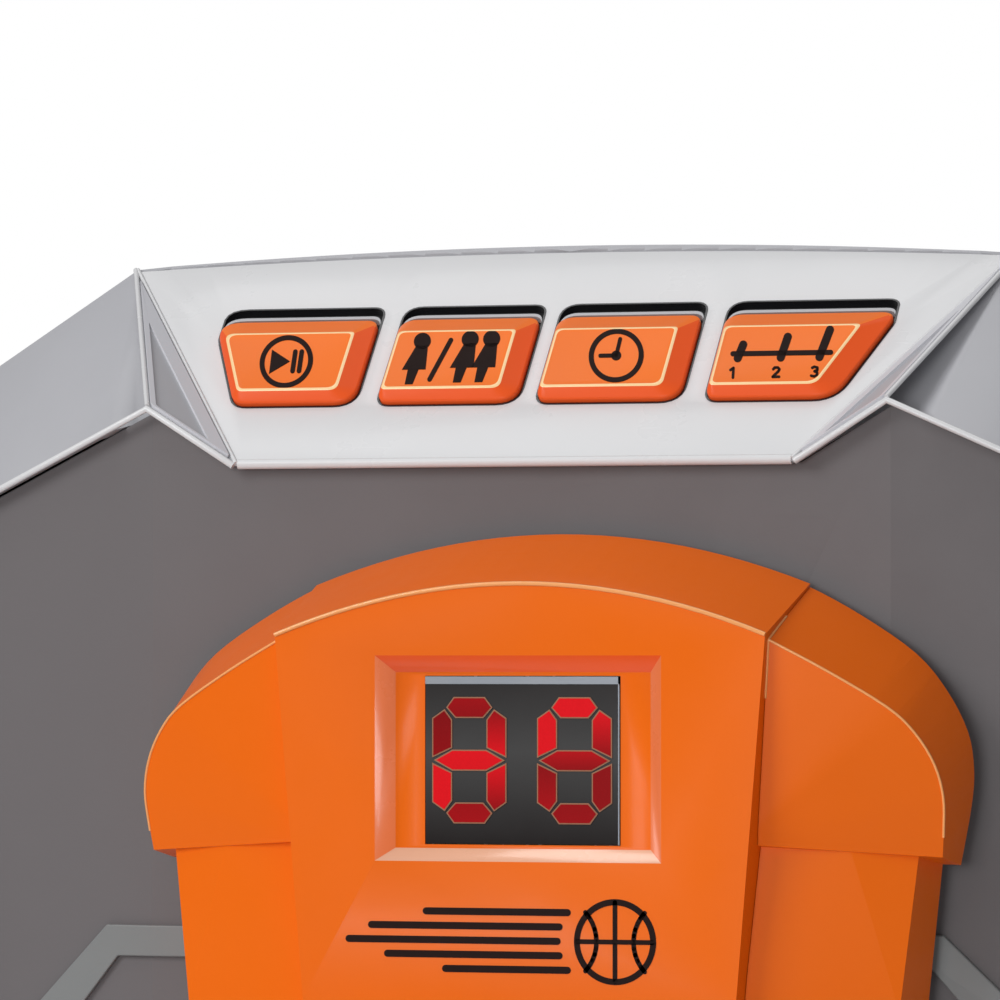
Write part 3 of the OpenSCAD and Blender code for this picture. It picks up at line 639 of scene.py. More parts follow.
def eased(outline, reach, steps=6):
    """An outline with each corner eased into a curve, all by one reach or each by its own."""
    count = len(outline)
    reaches = reach if isinstance(reach, (list, tuple)) else [reach] * count
    result = []
    for i in range(count):
        a, b, c = (Vector(outline[(i + k) % count]) for k in (-1, 0, 1))
        start = b + (a - b).normalized() * min(reaches[i], (a - b).length / 2.2)
        end = b + (c - b).normalized() * min(reaches[i], (c - b).length / 2.2)
        for k in range(steps + 1):
            t = k / steps
            result.append(tuple(start * (1 - t) ** 2 + b * 2 * t * (1 - t) + end * t ** 2))
    return result


# ---------------------------------------------------------------- geometry nodes

class Recipe:
    """A geometry node tree with named inputs."""

    def __init__(self, name):
        self.tree = bpy.data.node_groups.new(name, "GeometryNodeTree")
        self.tree.interface.new_socket("Geometry", in_out="OUTPUT", socket_type="NodeSocketGeometry")
        self.inputs = {}
        self.start = None

    def value(self, name, kind, default):
        socket = self.tree.interface.new_socket(name, in_out="INPUT", socket_type="NodeSocket" + kind)
        if default is not None:
            socket.default_value = default
        self.inputs[name] = socket.identifier
        return name

    def node(self, kind, settings=None, inputs=None):
        """A node with its settings, then its inputs: a value, a (node, socket) pair or a named tree input."""
        node = self.tree.nodes.new(kind)
        for key, value in (settings or {}).items():
            setattr(node, key, value)
        for key, value in (inputs or {}).items():
            if isinstance(value, tuple) and isinstance(value[0], bpy.types.Node):
                self.tree.links.new(value[0].outputs[value[1]], node.inputs[key])
            elif isinstance(value, bpy.types.Node):
                self.tree.links.new(value.outputs[0], node.inputs[key])
            elif isinstance(value, str) and value in self.inputs:
                self.tree.links.new(self.entry().outputs[value], node.inputs[key])
            else:
                node.inputs[key].default_value = value
        return node

    def entry(self):
        if self.start is None:
            self.start = self.tree.nodes.new("NodeGroupInput")
        return self.start

    def finish(self, geometry, material):
        """Ends the tree in real geometry with its material."""
        real = self.node("GeometryNodeRealizeInstances", None, {"Geometry": geometry})
        painted = self.node("GeometryNodeSetMaterial", None, {"Geometry": real, "Material": material})
        end = self.tree.nodes.new("NodeGroupOutput")
        self.tree.links.new(painted.outputs[0], end.inputs[0])

    def run(self, name, source, values, smooth=32.0):
        """Evaluates the tree on a source mesh and returns the result as a plain object."""
        holder = to_object(name + "_source", source)
        modifier = holder.modifiers.new("recipe", "NODES")
        modifier.node_group = self.tree
        for key, value in values.items():
            modifier[self.inputs[key]] = value
        bpy.context.view_layer.update()
        graph = bpy.context.evaluated_depsgraph_get()
        mesh = bpy.data.meshes.new_from_object(holder.evaluated_get(graph))
        bpy.data.objects.remove(holder)
        mesh.name = name
        soften(mesh, smooth)
        return to_object(name, mesh)


def line_mesh(name, paths):
    """A mesh of bare edges along open or closed paths, given as (points, closed)."""
    points, edges = [], []
    for path, closed in paths:
        start = len(points)
        points.extend(path)
        count = len(path)
        edges.extend((start + i, start + i + 1) for i in range(count - 1))
        if closed:
            edges.append((start + count - 1, start))
    mesh = bpy.data.meshes.new(name)
    mesh.from_pydata(points, edges, [])
    return mesh


def point_mesh(name, points):
    """A mesh of bare points."""
    mesh = bpy.data.meshes.new(name)
    mesh.from_pydata(points, [], [])
    return mesh


def cord_recipe(name, sides=8):
    """Runs a round cord along the edges of a mesh, with a UV map round and along it."""
    recipe = Recipe(name)
    source = recipe.value("Path", "Geometry", None)
    radius = recipe.value("Radius", "Float", 0.001)
    material = recipe.value("Material", "Material", None)
    line = recipe.node("GeometryNodeMeshToCurve", None, {"Mesh": source})
    length_along = recipe.node("GeometryNodeSplineParameter")
    kept = recipe.node("GeometryNodeStoreNamedAttribute", {"data_type": "FLOAT", "domain": "POINT"}, {
        "Geometry": line, "Name": "along", "Value": (length_along, 1)})
    section = recipe.node("GeometryNodeCurvePrimitiveCircle", None, {"Resolution": sides, "Radius": radius})
    around = recipe.node("GeometryNodeSplineParameter")
    marked = recipe.node("GeometryNodeStoreNamedAttribute", {"data_type": "FLOAT", "domain": "POINT"}, {
        "Geometry": section, "Name": "around", "Value": (around, 0)})
    tube = recipe.node("GeometryNodeCurveToMesh", None, {
        "Curve": kept, "Profile Curve": marked, "Fill Caps": True})
    u = recipe.node("GeometryNodeInputNamedAttribute", {"data_type": "FLOAT"}, {"Name": "around"})
    v = recipe.node("GeometryNodeInputNamedAttribute", {"data_type": "FLOAT"}, {"Name": "along"})
    both = recipe.node("ShaderNodeCombineXYZ", None, {"X": (u, 0), "Y": (v, 0)})
    mapped = recipe.node("GeometryNodeStoreNamedAttribute", {"data_type": "FLOAT2", "domain": "CORNER"}, {
        "Geometry": tube, "Name": "cord_uv", "Value": both})
    recipe.finish(mapped, material)
    return recipe


def scatter_recipe(name):
    """Places a small model on every point of a mesh, turned to face one way."""
    recipe = Recipe(name)
    source = recipe.value("Points", "Geometry", None)
    model = recipe.value("Model", "Object", None)
    turn = recipe.value("Turn", "Vector", (0, 0, 0))
    material = recipe.value("Material", "Material", None)
    info = recipe.node("GeometryNodeObjectInfo", None, {"Object": model})
    turned = recipe.node("FunctionNodeEulerToRotation", None, {"Euler": turn})
    seeds = recipe.node("FunctionNodeRandomValue", {"data_type": "FLOAT"}, {
        "Min": 0.0, "Max": 6.28, "Seed": 7})
    spin = recipe.node("ShaderNodeCombineXYZ", None, {"Z": (seeds, 1)})
    spun = recipe.node("FunctionNodeEulerToRotation", None, {"Euler": spin})
    whole = recipe.node("FunctionNodeRotateRotation", {"rotation_space": "LOCAL"}, {
        "Rotation": turned, "Rotate By": spun})
    cloud = recipe.node("GeometryNodeMeshToPoints", None, {"Mesh": source})
    copies = recipe.node("GeometryNodeInstanceOnPoints", None, {
        "Points": cloud, "Instance": (info, "Geometry"), "Rotation": whole})
    recipe.finish(copies, material)
    return recipe


# ---------------------------------------------------------------- reading the model

def head_at(x, y, z):
    """A place in the head, in millimetres from the bezel's front edge."""
    return HEAD + Vector((x, y, z)) * MM


def unit_at(x, y, z):
    """A place in the sliding unit, in millimetres from the bezel's front edge at the unit's middle."""
    return UNIT + Vector((x, y, z)) * MM


def islands(node):
    """The boxes of a node's separate solids, as pairs of lowest and highest corner."""
    build = merged_copy(node)
    left = set(build.verts)
    boxes = []
    while left:
        reached = [left.pop()]
        points = []
        while reached:
            vertex = reached.pop()
            points.append(vertex.co.copy())
            for edge in vertex.link_edges:
                other = edge.other_vert(vertex)
                if other in left:
                    left.remove(other)
                    reached.append(other)
        boxes.append((Vector(min(p[k] for p in points) for k in range(3)),
                      Vector(max(p[k] for p in points) for k in range(3))))
    build.free()
    return sorted(boxes, key=lambda box: tuple(round(c, 4) for c in box[0]))


def outline_loops(node, wanted):
    """The closed outlines round the faces of a node that pass a test of their normal and middle."""
    build = merged_copy(node)
    chosen = {f for f in build.faces if wanted(f.normal, f.calc_center_median())}
    step = {}
    for face in chosen:
        for loop in face.loops:
            if sum(other in chosen for other in loop.edge.link_faces) == 1:
                step[loop.vert] = loop.link_loop_next.vert
    loops = []
    while step:
        start, vertex = step.popitem()
        points = [start.co.copy()]
        while vertex is not start and vertex in step:
            points.append(vertex.co.copy())
            vertex = step.pop(vertex)
        loops.append(points)
    build.free()
    return loops


def facing_loops(node, direction, place):
    """Outlines of a node's outermost flat face in a direction, in a place's X and Y, and their heights."""
    direction = Vector(direction).normalized()
    mesh = frame["nodes"][node].data
    reach = max(v.co.dot(direction) for v in mesh.vertices)
    loops = outline_loops(node, lambda normal, middle: normal.dot(direction) > 0.9995
                          and reach - middle.dot(direction) < 0.00005)
    inverse = place.inverted()
    flat = [([tuple((inverse @ p).xy) for p in points], (inverse @ points[0]).z) for points in loops]
    return sorted(flat, key=lambda entry: -abs(area_of(entry[0])))


def area_of(outline):
    """The signed area inside an outline."""
    return sum(a[0] * b[1] - b[0] * a[1] for a, b in zip(outline, outline[1:] + outline[:1])) / 2


def sharp_edges(node, angle, wanted):
    """Pieces of a node's sharp edges that pass a test of their two ends, as two-point paths."""
    build = merged_copy(node)
    paths = []
    for edge in build.edges:
        if len(edge.link_faces) == 2 and edge.calc_face_angle(0) > math.radians(angle):
            a, b = (v.co.copy() for v in edge.verts)
            if wanted(a, b):
                paths.append((a, b))
    build.free()
    return paths


def joined_edges(name, pairs):
    """A mesh of bare edges from two-point paths, joined where their ends meet."""
    build = bmesh.new()
    for a, b in pairs:
        build.edges.new((build.verts.new(a), build.verts.new(b)))
    bmesh.ops.remove_doubles(build, verts=build.verts, dist=5e-5)
    mesh = bpy.data.meshes.new(name)
    build.to_mesh(mesh)
    build.free()
    return mesh


def cord_piece(name, source, radius, material, body, slot, sides=8, nodes=(), smooth=60.0):
    """A round bead or cord along the edges of a mesh."""
    recipe = cord_recipe(name + "_recipe", sides)
    thing = recipe.run(name, source, {"Radius": radius, "Material": material}, smooth)
    return settle(thing, body, slot, *nodes)


# ---------------------------------------------------------------- screws

SCREW_TURNS = {"+Z": (0, 0, 0), "-Z": (math.pi, 0, 0), "+Y": (-math.pi / 2, 0, 0), "-Y": (math.pi / 2, 0, 0)}


def screw_model(radius, height, hexagon=False):
    """A screw head that stands on Z = 0: a domed pan with a cross recess, or a flanged hexagon."""
    build = bmesh.new()
    count = 24
    if hexagon:
        profile = [(radius, -0.5), (radius, 0.22 * height), (radius * 0.84, 0.3 * height),
                   (radius * 0.84, 0.88 * height), (radius * 0.72, height)]
    else:
        profile = [(radius * 0.96, -0.5), (radius, 0.25 * height), (radius * 0.88, 0.7 * height),
                   (radius * 0.6, 0.94 * height), (radius * 0.45, height)]
    rings = []
    for index, (r, z) in enumerate(profile):
        ring = []
        for i in range(count):
            turn = 2 * math.pi * i / count
            reach = r
            if hexagon and index > 1:
                reach = r / math.cos((turn + math.pi / 6) % (math.pi / 3) - math.pi / 6) * 0.9
            ring.append(build.verts.new(Vector((reach * math.cos(turn), reach * math.sin(turn), z)) * MM))
        rings.append(ring)
    if not hexagon:
        floor = []
        for i in range(count):
            turn = 2 * math.pi * i / count
            reach = radius * (0.5 if abs(math.sin(2 * turn)) < 0.3 else 0.16)
            x, y = reach * math.cos(turn), reach * math.sin(turn)
            rings[-1][i].co = Vector((x * 1.06, y * 1.06, height)) * MM
            floor.append(build.verts.new(Vector((x, y, 0.3 * height)) * MM))
        rings.append(floor)
    build.faces.new(list(reversed(rings[0])))
    build.faces.new(rings[-1])
    skin(build, rings)
    return from_bmesh("screw_model", build, [], 40.0)


def screws(name, node, side, radius, height, hexagon=False, sink=0.0):
    """Screw heads in the places of a node's solids, facing one way, as one piece."""
    axis, outward = "XYZ".index(side[1]), side[0] == "+"
    points = []
    for low, high in islands(node):
        point = (low + high) / 2
        face = high[axis] if not outward else low[axis]
        point[axis] = face + (sink if outward else -sink)
        points.append(point)
    model = screw_model(radius, height, hexagon)
    recipe = scatter_recipe(name + "_recipe")
    plating = finish_named("plated_screw", plated_screw)
    thing = recipe.run(name, point_mesh(name + "_places", points), {
        "Model": model, "Turn": SCREW_TURNS[side], "Material": plating}, 40.0)
    bpy.data.objects.remove(model)
    return settle(thing, body_of_node(node), "screw_steel", node)


# ---------------------------------------------------------------- base and pole

def build_base():
    refined("base_shell", base_moulding(), 0.0016, 30.0)
    refined("base_plate", black_moulding(), 0.0006)
    refined("ballast_weight", finish_named("rough_casting", rough_casting), 0.003, segments=4)
    refined("rubber_feet", finish_named("foot_rubber", rubber), 0.0007)
    screws("base_screw_heads", "base_screws", "-Z", 4.0, 2.0)
    low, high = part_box("base_shell")
    skirt = eased([(low.x, low.y), (high.x, low.y), (high.x, high.y), (low.x, high.y)], 0.034, 10)
    paths = [([Vector((*p, height)) for p in moved_in(skirt, 0.0012)], True)
             for height in (low.z + 0.004, low.z + 0.0075)]
    cord_piece("base_skirt_beads", line_mesh("skirt_lines", paths), 0.0011, base_moulding(), "base",
               "base_plastic", 6)


def build_pole():
    refined("pole_socket", black_moulding(), 0.0012)
    screws("socket_screw_heads", "socket_screws", "+Z", 4.5, 2.5)
    refined("lower_tube", finish_named("coated_tube", coated_tube, (0.30, 0.30, 0.315)), 0.0003)
    refined("clamp_collar", black_moulding(), 0.0009)
    refined("clamp_knob", black_moulding(), 0.0014, segments=4)
    refined("upper_tube", steel("Z"), 0.0003)
    refined("guide_bush", white_acetal(), 0.0004)
    refined("tube_cap", black_moulding(), 0.0008)
    refined("head_bracket", finish_named("bracket_coat", coated_tube, (0.025, 0.025, 0.027)), 0.0008)
    screws("bracket_bolt_heads", "bracket_bolts", "+Y", 5.6, 3.6, True)
    build_height_marks()


HEIGHT_MARKS = 9
MARK_PITCH = 25
FIRST_MARK = 20


def build_height_marks():
    """Rings printed on the front of the upper tube, a long one and a short one in turn."""
    low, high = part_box("upper_tube")
    middle = node_centre("upper_tube")
    marks = bmesh.new()
    radius = (high.x - low.x) / 2 / MM
    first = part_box("clamp_collar")[1].z / MM + FIRST_MARK
    band = [(radius - 0.3, -0.5), (radius + 0.12, -0.5), (radius + 0.12, 0.5), (radius - 0.3, 0.5)]
    for k in range(HEIGHT_MARKS):
        wide = 0.55 if k % 2 == 0 else 0.35
        height = first + k * MARK_PITCH
        rings = []
        for i in range(13):
            turn = -math.pi / 2 + wide * (i / 6 - 1)
            across, away = math.cos(turn) * MM, math.sin(turn) * MM
            rings.append([marks.verts.new(Vector((middle.x + r * across, middle.y + r * away,
                                                  (height + z) * MM))) for r, z in band])
        skin(marks, rings)
        marks.faces.new(rings[0])
        marks.faces.new(list(reversed(rings[-1])))
    settle(from_bmesh("height_marks", marks, dark_ink()), "head", "black_plastic")


# ---------------------------------------------------------------- head shells

def silver_shell():
    return plastic("silver_shell", colours().frame, roughness=0.36, grain=1600.0, grain_depth=0.000006,
                   coat=0.15)


def console_shell():
    return plastic("console_shell", colours().console, roughness=0.30, grain=1600.0, grain_depth=0.000005,
                   coat=0.2, mottle=0.025)


# Silver paler than the frame: painted highlight lines on the shoulder ridges, the panel's bead and the
# console's edges.
def silver_highlight():
    return plastic("silver_highlight", shade(colours().console, 0.98), roughness=0.26, coat=0.3, mottle=0.02)


# Where each ear starts beside the console, and how far its front falls back for each millimetre outwards
EAR_X = 116.5
SWEEP = 0.2
# The left cheek's corners: at the back of the ridge, at its front, and at the console's foot
CHEEK = ((-142.7, 58.1, 74.9), (-EAR_X, 0.0, 29.6), (-88.2, 0.0, CONSOLE_RISE))
CHEEK_RIM = {"ridge": 0.0026, "front": 0.0018, "console": 0.0056}


# The frame's silver made lighter: painted light on the cheeks' rims.
def cheek_painted_light_silver():
    return plastic("cheek_painted_light_silver", shade(colours().frame, 1.45), roughness=0.34, coat=0.15, mottle=0.03)


def cheek_corners(side):
    """The corners of the left (-1) or right (1) cheek."""
    return [head_at(p[0] * -side, p[1], p[2]) for p in CHEEK]


def cheek_place(side):
    """A place whose X and Y lie in a cheek, the cheek's corners there, and the rim's width at each side."""
    a, b, c = cheek_corners(side)
    across = (c - a).normalized()
    out = (b - a).cross(c - a).normalized()
    if out.z < 0:
        out = -out
    up = out.cross(across)
    place = Matrix((across, up, out)).transposed().to_4x4()
    place.translation = a
    inverse = place.inverted()
    corners = [tuple((inverse @ p).xy) for p in (a, b, c)]
    widths = [CHEEK_RIM["ridge"], CHEEK_RIM["front"], CHEEK_RIM["console"]]
    if area_of(corners) > 0:
        return place, corners, widths
    return place, list(reversed(corners)), [widths[1], widths[0], widths[2]]


def build_cheeks():
    """Raised rims and sunk plates of the two cheeks beside the console; the rims take a lighter copy of the
    frame's silver as painted light.
    """
    for side, name in ((-1, "left"), (1, "right")):
        place, corners, widths = cheek_place(side)
        outer = moved_sides(corners, [0.0009] * 3)
        inner = moved_sides(corners, widths)
        build = bmesh.new()
        ring_prism(build, eased(outer, 0.001), eased(inner, 0.001), -0.0004, 0.0009, place)
        thing = from_bmesh(name + "_cheek_rim", build, cheek_painted_light_silver(), 30.0)
        round_edges(thing, 0.0004, 3)
        settle(thing, "head", "frame_silver")
        build = bmesh.new()
        plate = moved_sides(corners, [w - 0.0002 for w in widths])
        prism(build, eased(plate, 0.001), -0.0004, 0.00015, place)
        settle(from_bmesh(name + "_cheek_plate", build, silver_shell(), 30.0), "head", "frame_silver")


def build_shell():
    refined("frame_shell", silver_shell(), None, 24.0)
    build_cheeks()
    ridges = []
    for side in (-1, 1):
        back, front, _ = cheek_corners(side)
        ridges.append(([back.lerp(front, t / 8) for t in range(9)], False))
    # Painted highlight lines along the crests of the shoulder ridges.
    cord_piece("shoulder_ridges", line_mesh("ridge_lines", ridges), 0.0008, silver_highlight(), "head",
               "frame_silver", 12)


def build_panel():
    panel = plastic("panel_moulding", colours().panel, roughness=0.55, grain=800.0, grain_depth=0.00003,
                    mottle=0.05)
    refined("front_panel", panel, 0.0003, 24.0, 2)
    stripe = plastic("stripe_moulding", colours().stripe, roughness=0.42, grain=1200.0)
    refined("arch_stripe", stripe, 0.0005)
    # The bead round the panel is a painted highlight in pale silver.
    cord_piece("panel_bead", line_mesh("bead_line", [(bead_path(), False)]), sizes().bead / 2, silver_highlight(),
               "head", "frame_silver", 12)


def set_back(x):
    """How far the bezel's front lies behind its front edge, at a place across the head, in millimetres."""
    return max(0.0, abs(x) - EAR_X) * SWEEP


def bead_path():
    """The middle of the lip round the panel, from one end of the console down and round to the other."""
    def on_left_lip(normal, middle):
        x, y, _ = (middle - HEAD) / MM
        return x < -EAR_X and normal.y < -0.97 and abs(y - set_back(x)) < 0.4
    lip = max(outline_loops("frame_shell", on_left_lip), key=len)
    points = [((p.x - HEAD.x) / MM, (p.z - HEAD.z) / MM) for p in lip]
    top = max(range(len(points)), key=lambda i: points[i][1])
    turned = points[top:] + points[:top]
    bottom = min(range(len(turned)), key=lambda i: turned[i][1])
    left = [b for a, b in zip(turned, turned[1:bottom + 1]) if math.dist(a, b) > 0.3]
    half = [(CHEEK[2][0], CHEEK[2][2]), (CHEEK[1][0], CHEEK[1][2]), *left]
    whole = half + [(-x, z) for x, z in reversed(half)]
    return [head_at(x, set_back(x) - 0.1, z) for x, z in moved_in(whole, 0.8)]


# ---------------------------------------------------------------- console and keys

KEYS = {"start_button": "start_key", "players_button": "players_key", "timer_button": "timer_key",
        "level_button": "level_key"}
# The slopes round a key's face, seen along the console
KEY_MARGINS = {"left": 1.1, "right": 5.6, "top": 6.9, "bottom": 3.0}
# The upright part of a key's sides, where its model is cut off below, and the width of the pale line round
# its face, a painted highlight
KEY_SIDE = 1.9
KEY_CUT = -0.003
KEY_HIGHLIGHT_WIDTH = 0.9
# The flat of a key lies a little lower than the painted highlight line round it
KEY_FACE_DROP = 0.0003
LONGEST_CURVE_STEP = 0.006
CONSOLE_PLATE = 0.0026
CONSOLE_FOOT = 87.3


def key_outline(node):
    """The sharp corners of a key in the console's plane, their reaches, and the height of its face."""
    outline, top = facing_loops(node, CONSOLE_UP, CONSOLE)[0]
    return *straight_corners(counter_clockwise(outline), LONGEST_CURVE_STEP), top


def side_margins(corners):
    """How far each side of a key's face lies inside the key's own side."""
    result = []
    for a, b in zip(corners, corners[1:] + corners[:1]):
        along = (Vector(b) - Vector(a)).normalized()
        x, y = along.y, -along.x
        across = KEY_MARGINS["right"] * x if x > 0 else -KEY_MARGINS["left"] * x
        up = KEY_MARGINS["top"] * y if y > 0 else -KEY_MARGINS["bottom"] * y
        result.append((across + up) * MM)
    return result


def counter_clockwise(outline):
    return outline if area_of(outline) > 0 else list(reversed(outline))


def loft(build, rings, place, materials):
    """Adds a closed skin through outlines of equal count at their heights; one material for each step."""
    made = [vertex_ring(build, outline, height, place) for outline, height in rings]
    build.faces.new(list(reversed(made[0]))).material_index = materials[0]
    skin(build, made, materials)
    build.faces.new(made[-1]).material_index = materials[-1]


def key_plastic():
    return plastic("key_plastic", colours().key, roughness=0.34, grain=1800.0, grain_depth=0.000004,
                   coat=0.05, mottle=0.02, specular=0.15)


# A darker copy of the key's orange: painted shade on the slopes that do not face up the console.
def key_slope_painted_shade():
    return plastic("key_slope_painted_shade", (0.86, 0.105, 0.018), roughness=0.34, grain=1800.0,
                   grain_depth=0.000004, coat=0.05, mottle=0.03, specular=0.15)


# Pale orange line round a key's face: a painted highlight.
def key_highlight_plastic():
    return plastic("key_highlight_plastic", colours().key_highlight, roughness=0.22, coat=0.3, mottle=0.02)


def build_keys():
    """The four keys: a cap with broad slopes round its face, all but the upper slope in a darker orange of
    painted shade, a painted highlight line on its edge, and a dark flange, painted black where it shows in
    the shade of its well.
    """
    slope = CONSOLE.to_3x3() @ Vector((0, 1, 0))
    for node, body in KEYS.items():
        corners, reaches, top = key_outline(node)
        margins = side_margins(corners)
        build = merged_copy(node)
        bmesh.ops.bisect_plane(build, geom=build.verts[:] + build.edges[:] + build.faces[:],
                               plane_co=CONSOLE @ Vector((0, 0, KEY_CUT)), plane_no=CONSOLE_UP,
                               clear_outer=True)
        bmesh.ops.holes_fill(build, edges=[e for e in build.edges if e.is_boundary])
        # Painted shade: the flange, seen through the gap above the key, is made black where that gap lies in
        # shade.
        for face in build.faces:
            face.material_index = 3

        def ring(share, line, height):
            moved = moved_sides(corners, [m * share + line * MM for m in margins])
            return eased(moved, [r * (1 - 0.6 * share) for r in reaches], 8), height
        rings = [ring(0.0, 0.0, KEY_CUT - 0.0001), ring(0.0, 0.0, (KEY_SIDE - 0.6) * MM),
                 ring(0.03, 0.04, (KEY_SIDE - 0.2) * MM), ring(0.08, 0.1, KEY_SIDE * MM),
                 ring(1.0, 0.0, top - 0.0004), ring(1.0, KEY_HIGHLIGHT_WIDTH * 0.5, top - 0.0001),
                 ring(1.0, KEY_HIGHLIGHT_WIDTH, top - 0.00015), ring(1.0, KEY_HIGHLIGHT_WIDTH + 0.4, top - KEY_FACE_DROP)]
        loft(build, rings, CONSOLE, [1, 1, 1, 1, 2, 2, 0, 0])
        build.normal_update()
        # Painted shade: every slope but the upper one keeps the darker orange; the upper slope takes the
        # face's orange.
        for face in build.faces:
            if face.material_index == 1 and face.normal.dot(slope) > 0.1:
                face.material_index = 0
        thing = from_bmesh(node + "_finished", build,
                           [key_plastic(), key_slope_painted_shade(), key_highlight_plastic(), black_moulding()], 26.0)
        settle(thing, body, "button_orange", node)


def build_console():
    loops = [counter_clockwise(outline) for outline, _ in facing_loops("console_cover", CONSOLE_UP, CONSOLE)]
    holes = sorted(loops[1:], key=lambda outline: outline[0][0])
    build = bmesh.new()
    rounded_plate(build, [loops[0], *holes], -CONSOLE_PLATE, 0.0, 0.0005, CONSOLE)
    settle(from_bmesh("console_cover_finished", build, console_shell(), 28.0), "head", "console_silver",
           "console_cover")
    # Painted shade: a glossy black collar lines each key's opening, where the gap lies in shade.
    gloss = plastic("well_painted_shade", (0.012, 0.012, 0.014), roughness=0.16, coat=0.6)
    # Painted highlight: a grey rib along each key's upper edge stands for the light caught on the well's rim.
    lip = plastic("well_painted_highlight", (0.42, 0.42, 0.44), roughness=0.2, coat=0.5)
    for node, hole in zip(KEYS, holes):
        build = bmesh.new()
        ring_prism(build, moved_in(hole, -0.0002), moved_in(hole, 0.00035), -CONSOLE_PLATE, 0.00012, CONSOLE)
        settle(from_bmesh(node + "_well", build, gloss, 30.0), "head", "black_plastic")
        corners, reaches, _ = key_outline(node)
        rib = bmesh.new()
        strip = upper_strip(eased(corners, reaches, 8), 0.0024, 0.0036)
        prism(rib, strip, -CONSOLE_PLATE, -0.0002, CONSOLE)
        thing = from_bmesh(node + "_well_rib", rib, lip, 30.0)
        settle(round_edges(thing, 0.0003, 2), "head", "black_plastic")
    nose = [CONSOLE @ Vector((x * MM, 0.00076, -0.0012)) for x in (-CONSOLE_FOOT, CONSOLE_FOOT)]
    cord_piece("console_nose", line_mesh("nose_line", [(nose, False)]), 0.00155, console_shell(), "head",
               "console_silver", 16)
    # Painted highlight lines along the console's sloping sides.
    sides = []
    for side in (-1, 1):
        head, _, foot = cheek_corners(side)
        sides.append(([head.lerp(foot, k / 8) + Vector((side * -0.0006, 0, 0)) for k in range(9)], False))
    cord_piece("console_edges", line_mesh("console_edge_highlights", sides), 0.0007, silver_highlight(), "head",
               "console_silver", 12)


def upper_strip(outline, near, far):
    """A strip that follows the upper half of a counter-clockwise outline, between two distances above it."""
    right = max(range(len(outline)), key=lambda i: outline[i][0])
    turned = outline[right:] + outline[:right]
    left = min(range(len(turned)), key=lambda i: turned[i][0])
    upper = turned[:left + 1]
    return [(x, y + near) for x, y in reversed(upper)] + [(x, y + far) for x, y in upper]


# ---------------------------------------------------------------- pictograms

class Print:
    """Flat printed shapes on a face, gathered into one piece; rise and lean draw them out up the face."""

    def __init__(self, place, height, middle=(0.0, 0.0), rise=1.0, lean=0.0):
        self.build = bmesh.new()
        self.place = place
        self.height = height
        self.middle = middle
        self.rise = rise
        self.lean = lean

    def spot(self, point):
        x, y = point
        return ((self.middle[0] + x + self.lean * y) * MM, (self.middle[1] + y * self.rise) * MM)

    def heights(self):
        """The film's lower side, sunk into the face, and its upper side."""
        return self.height - 0.00015, self.height + sizes().print_rise

    def shape(self, outline):
        prism(self.build, counter_clockwise([self.spot(p) for p in outline]), *self.heights(), self.place)

    def ring(self, centre, radius, width, count=64):
        outer, inner = ([self.spot(p) for p in circle(r, count, centre)] for r in (radius, radius - width))
        ring_prism(self.build, outer, inner, *self.heights(), self.place)

    def bar(self, start, end, width):
        self.shape(capsule(start, end, width / 2))

    def line(self, points, width):
        """A bent line of bars."""
        for a, b in zip(points, points[1:]):
            self.bar(a, b, width)

    def done(self, name, body, slot="black_plastic"):
        return settle(from_bmesh(name, self.build, dark_ink(), 30.0), body, slot)


def child(sheet, x, y):
    """A standing child: round head, a coat that widens downwards, two legs in one shape."""
    sheet.shape(circle(2.75, 24, (x + 2.0, y + 6.2)))
    sheet.shape([(x + 0.2, y + 4.8), (x - 4.0, y - 3.1), (x + 3.6, y - 3.1), (x + 3.9, y + 4.8)])
    sheet.shape([(x - 2.1, y - 3.0), (x - 2.8, y - 7.9), (x - 0.3, y - 7.9), (x + 1.4, y - 3.0)])


# The strokes of a small 1, 2 and 3, each in a box 3 wide and 5 high
DIGIT_STROKES = {
    "1": [(0.5, 3.9), (1.7, 4.9), (1.5, 0.2)],
    "2": [(0.4, 4.0), (1.0, 4.8), (2.2, 4.8), (2.8, 4.0), (2.4, 3.0), (0.2, 0.3), (2.7, 0.3)],
    "3": [(0.5, 4.4), (1.3, 4.9), (2.5, 4.5), (2.5, 3.4), (1.4, 2.7), (2.4, 2.1), (2.4, 0.9), (1.3, 0.2),
          (0.1, 0.6)]}
# How far a print is stretched up a key's face, and slanted, to look upright to the player
KEY_RISE = 1.32
KEY_LEAN = -0.24


def key_print(x, y):
    """A print on a key's face round a place on the console; it looks upright to the player."""
    top = key_outline("start_button")[2] - KEY_FACE_DROP
    return Print(CONSOLE, top, (x, y), KEY_RISE, KEY_LEAN)


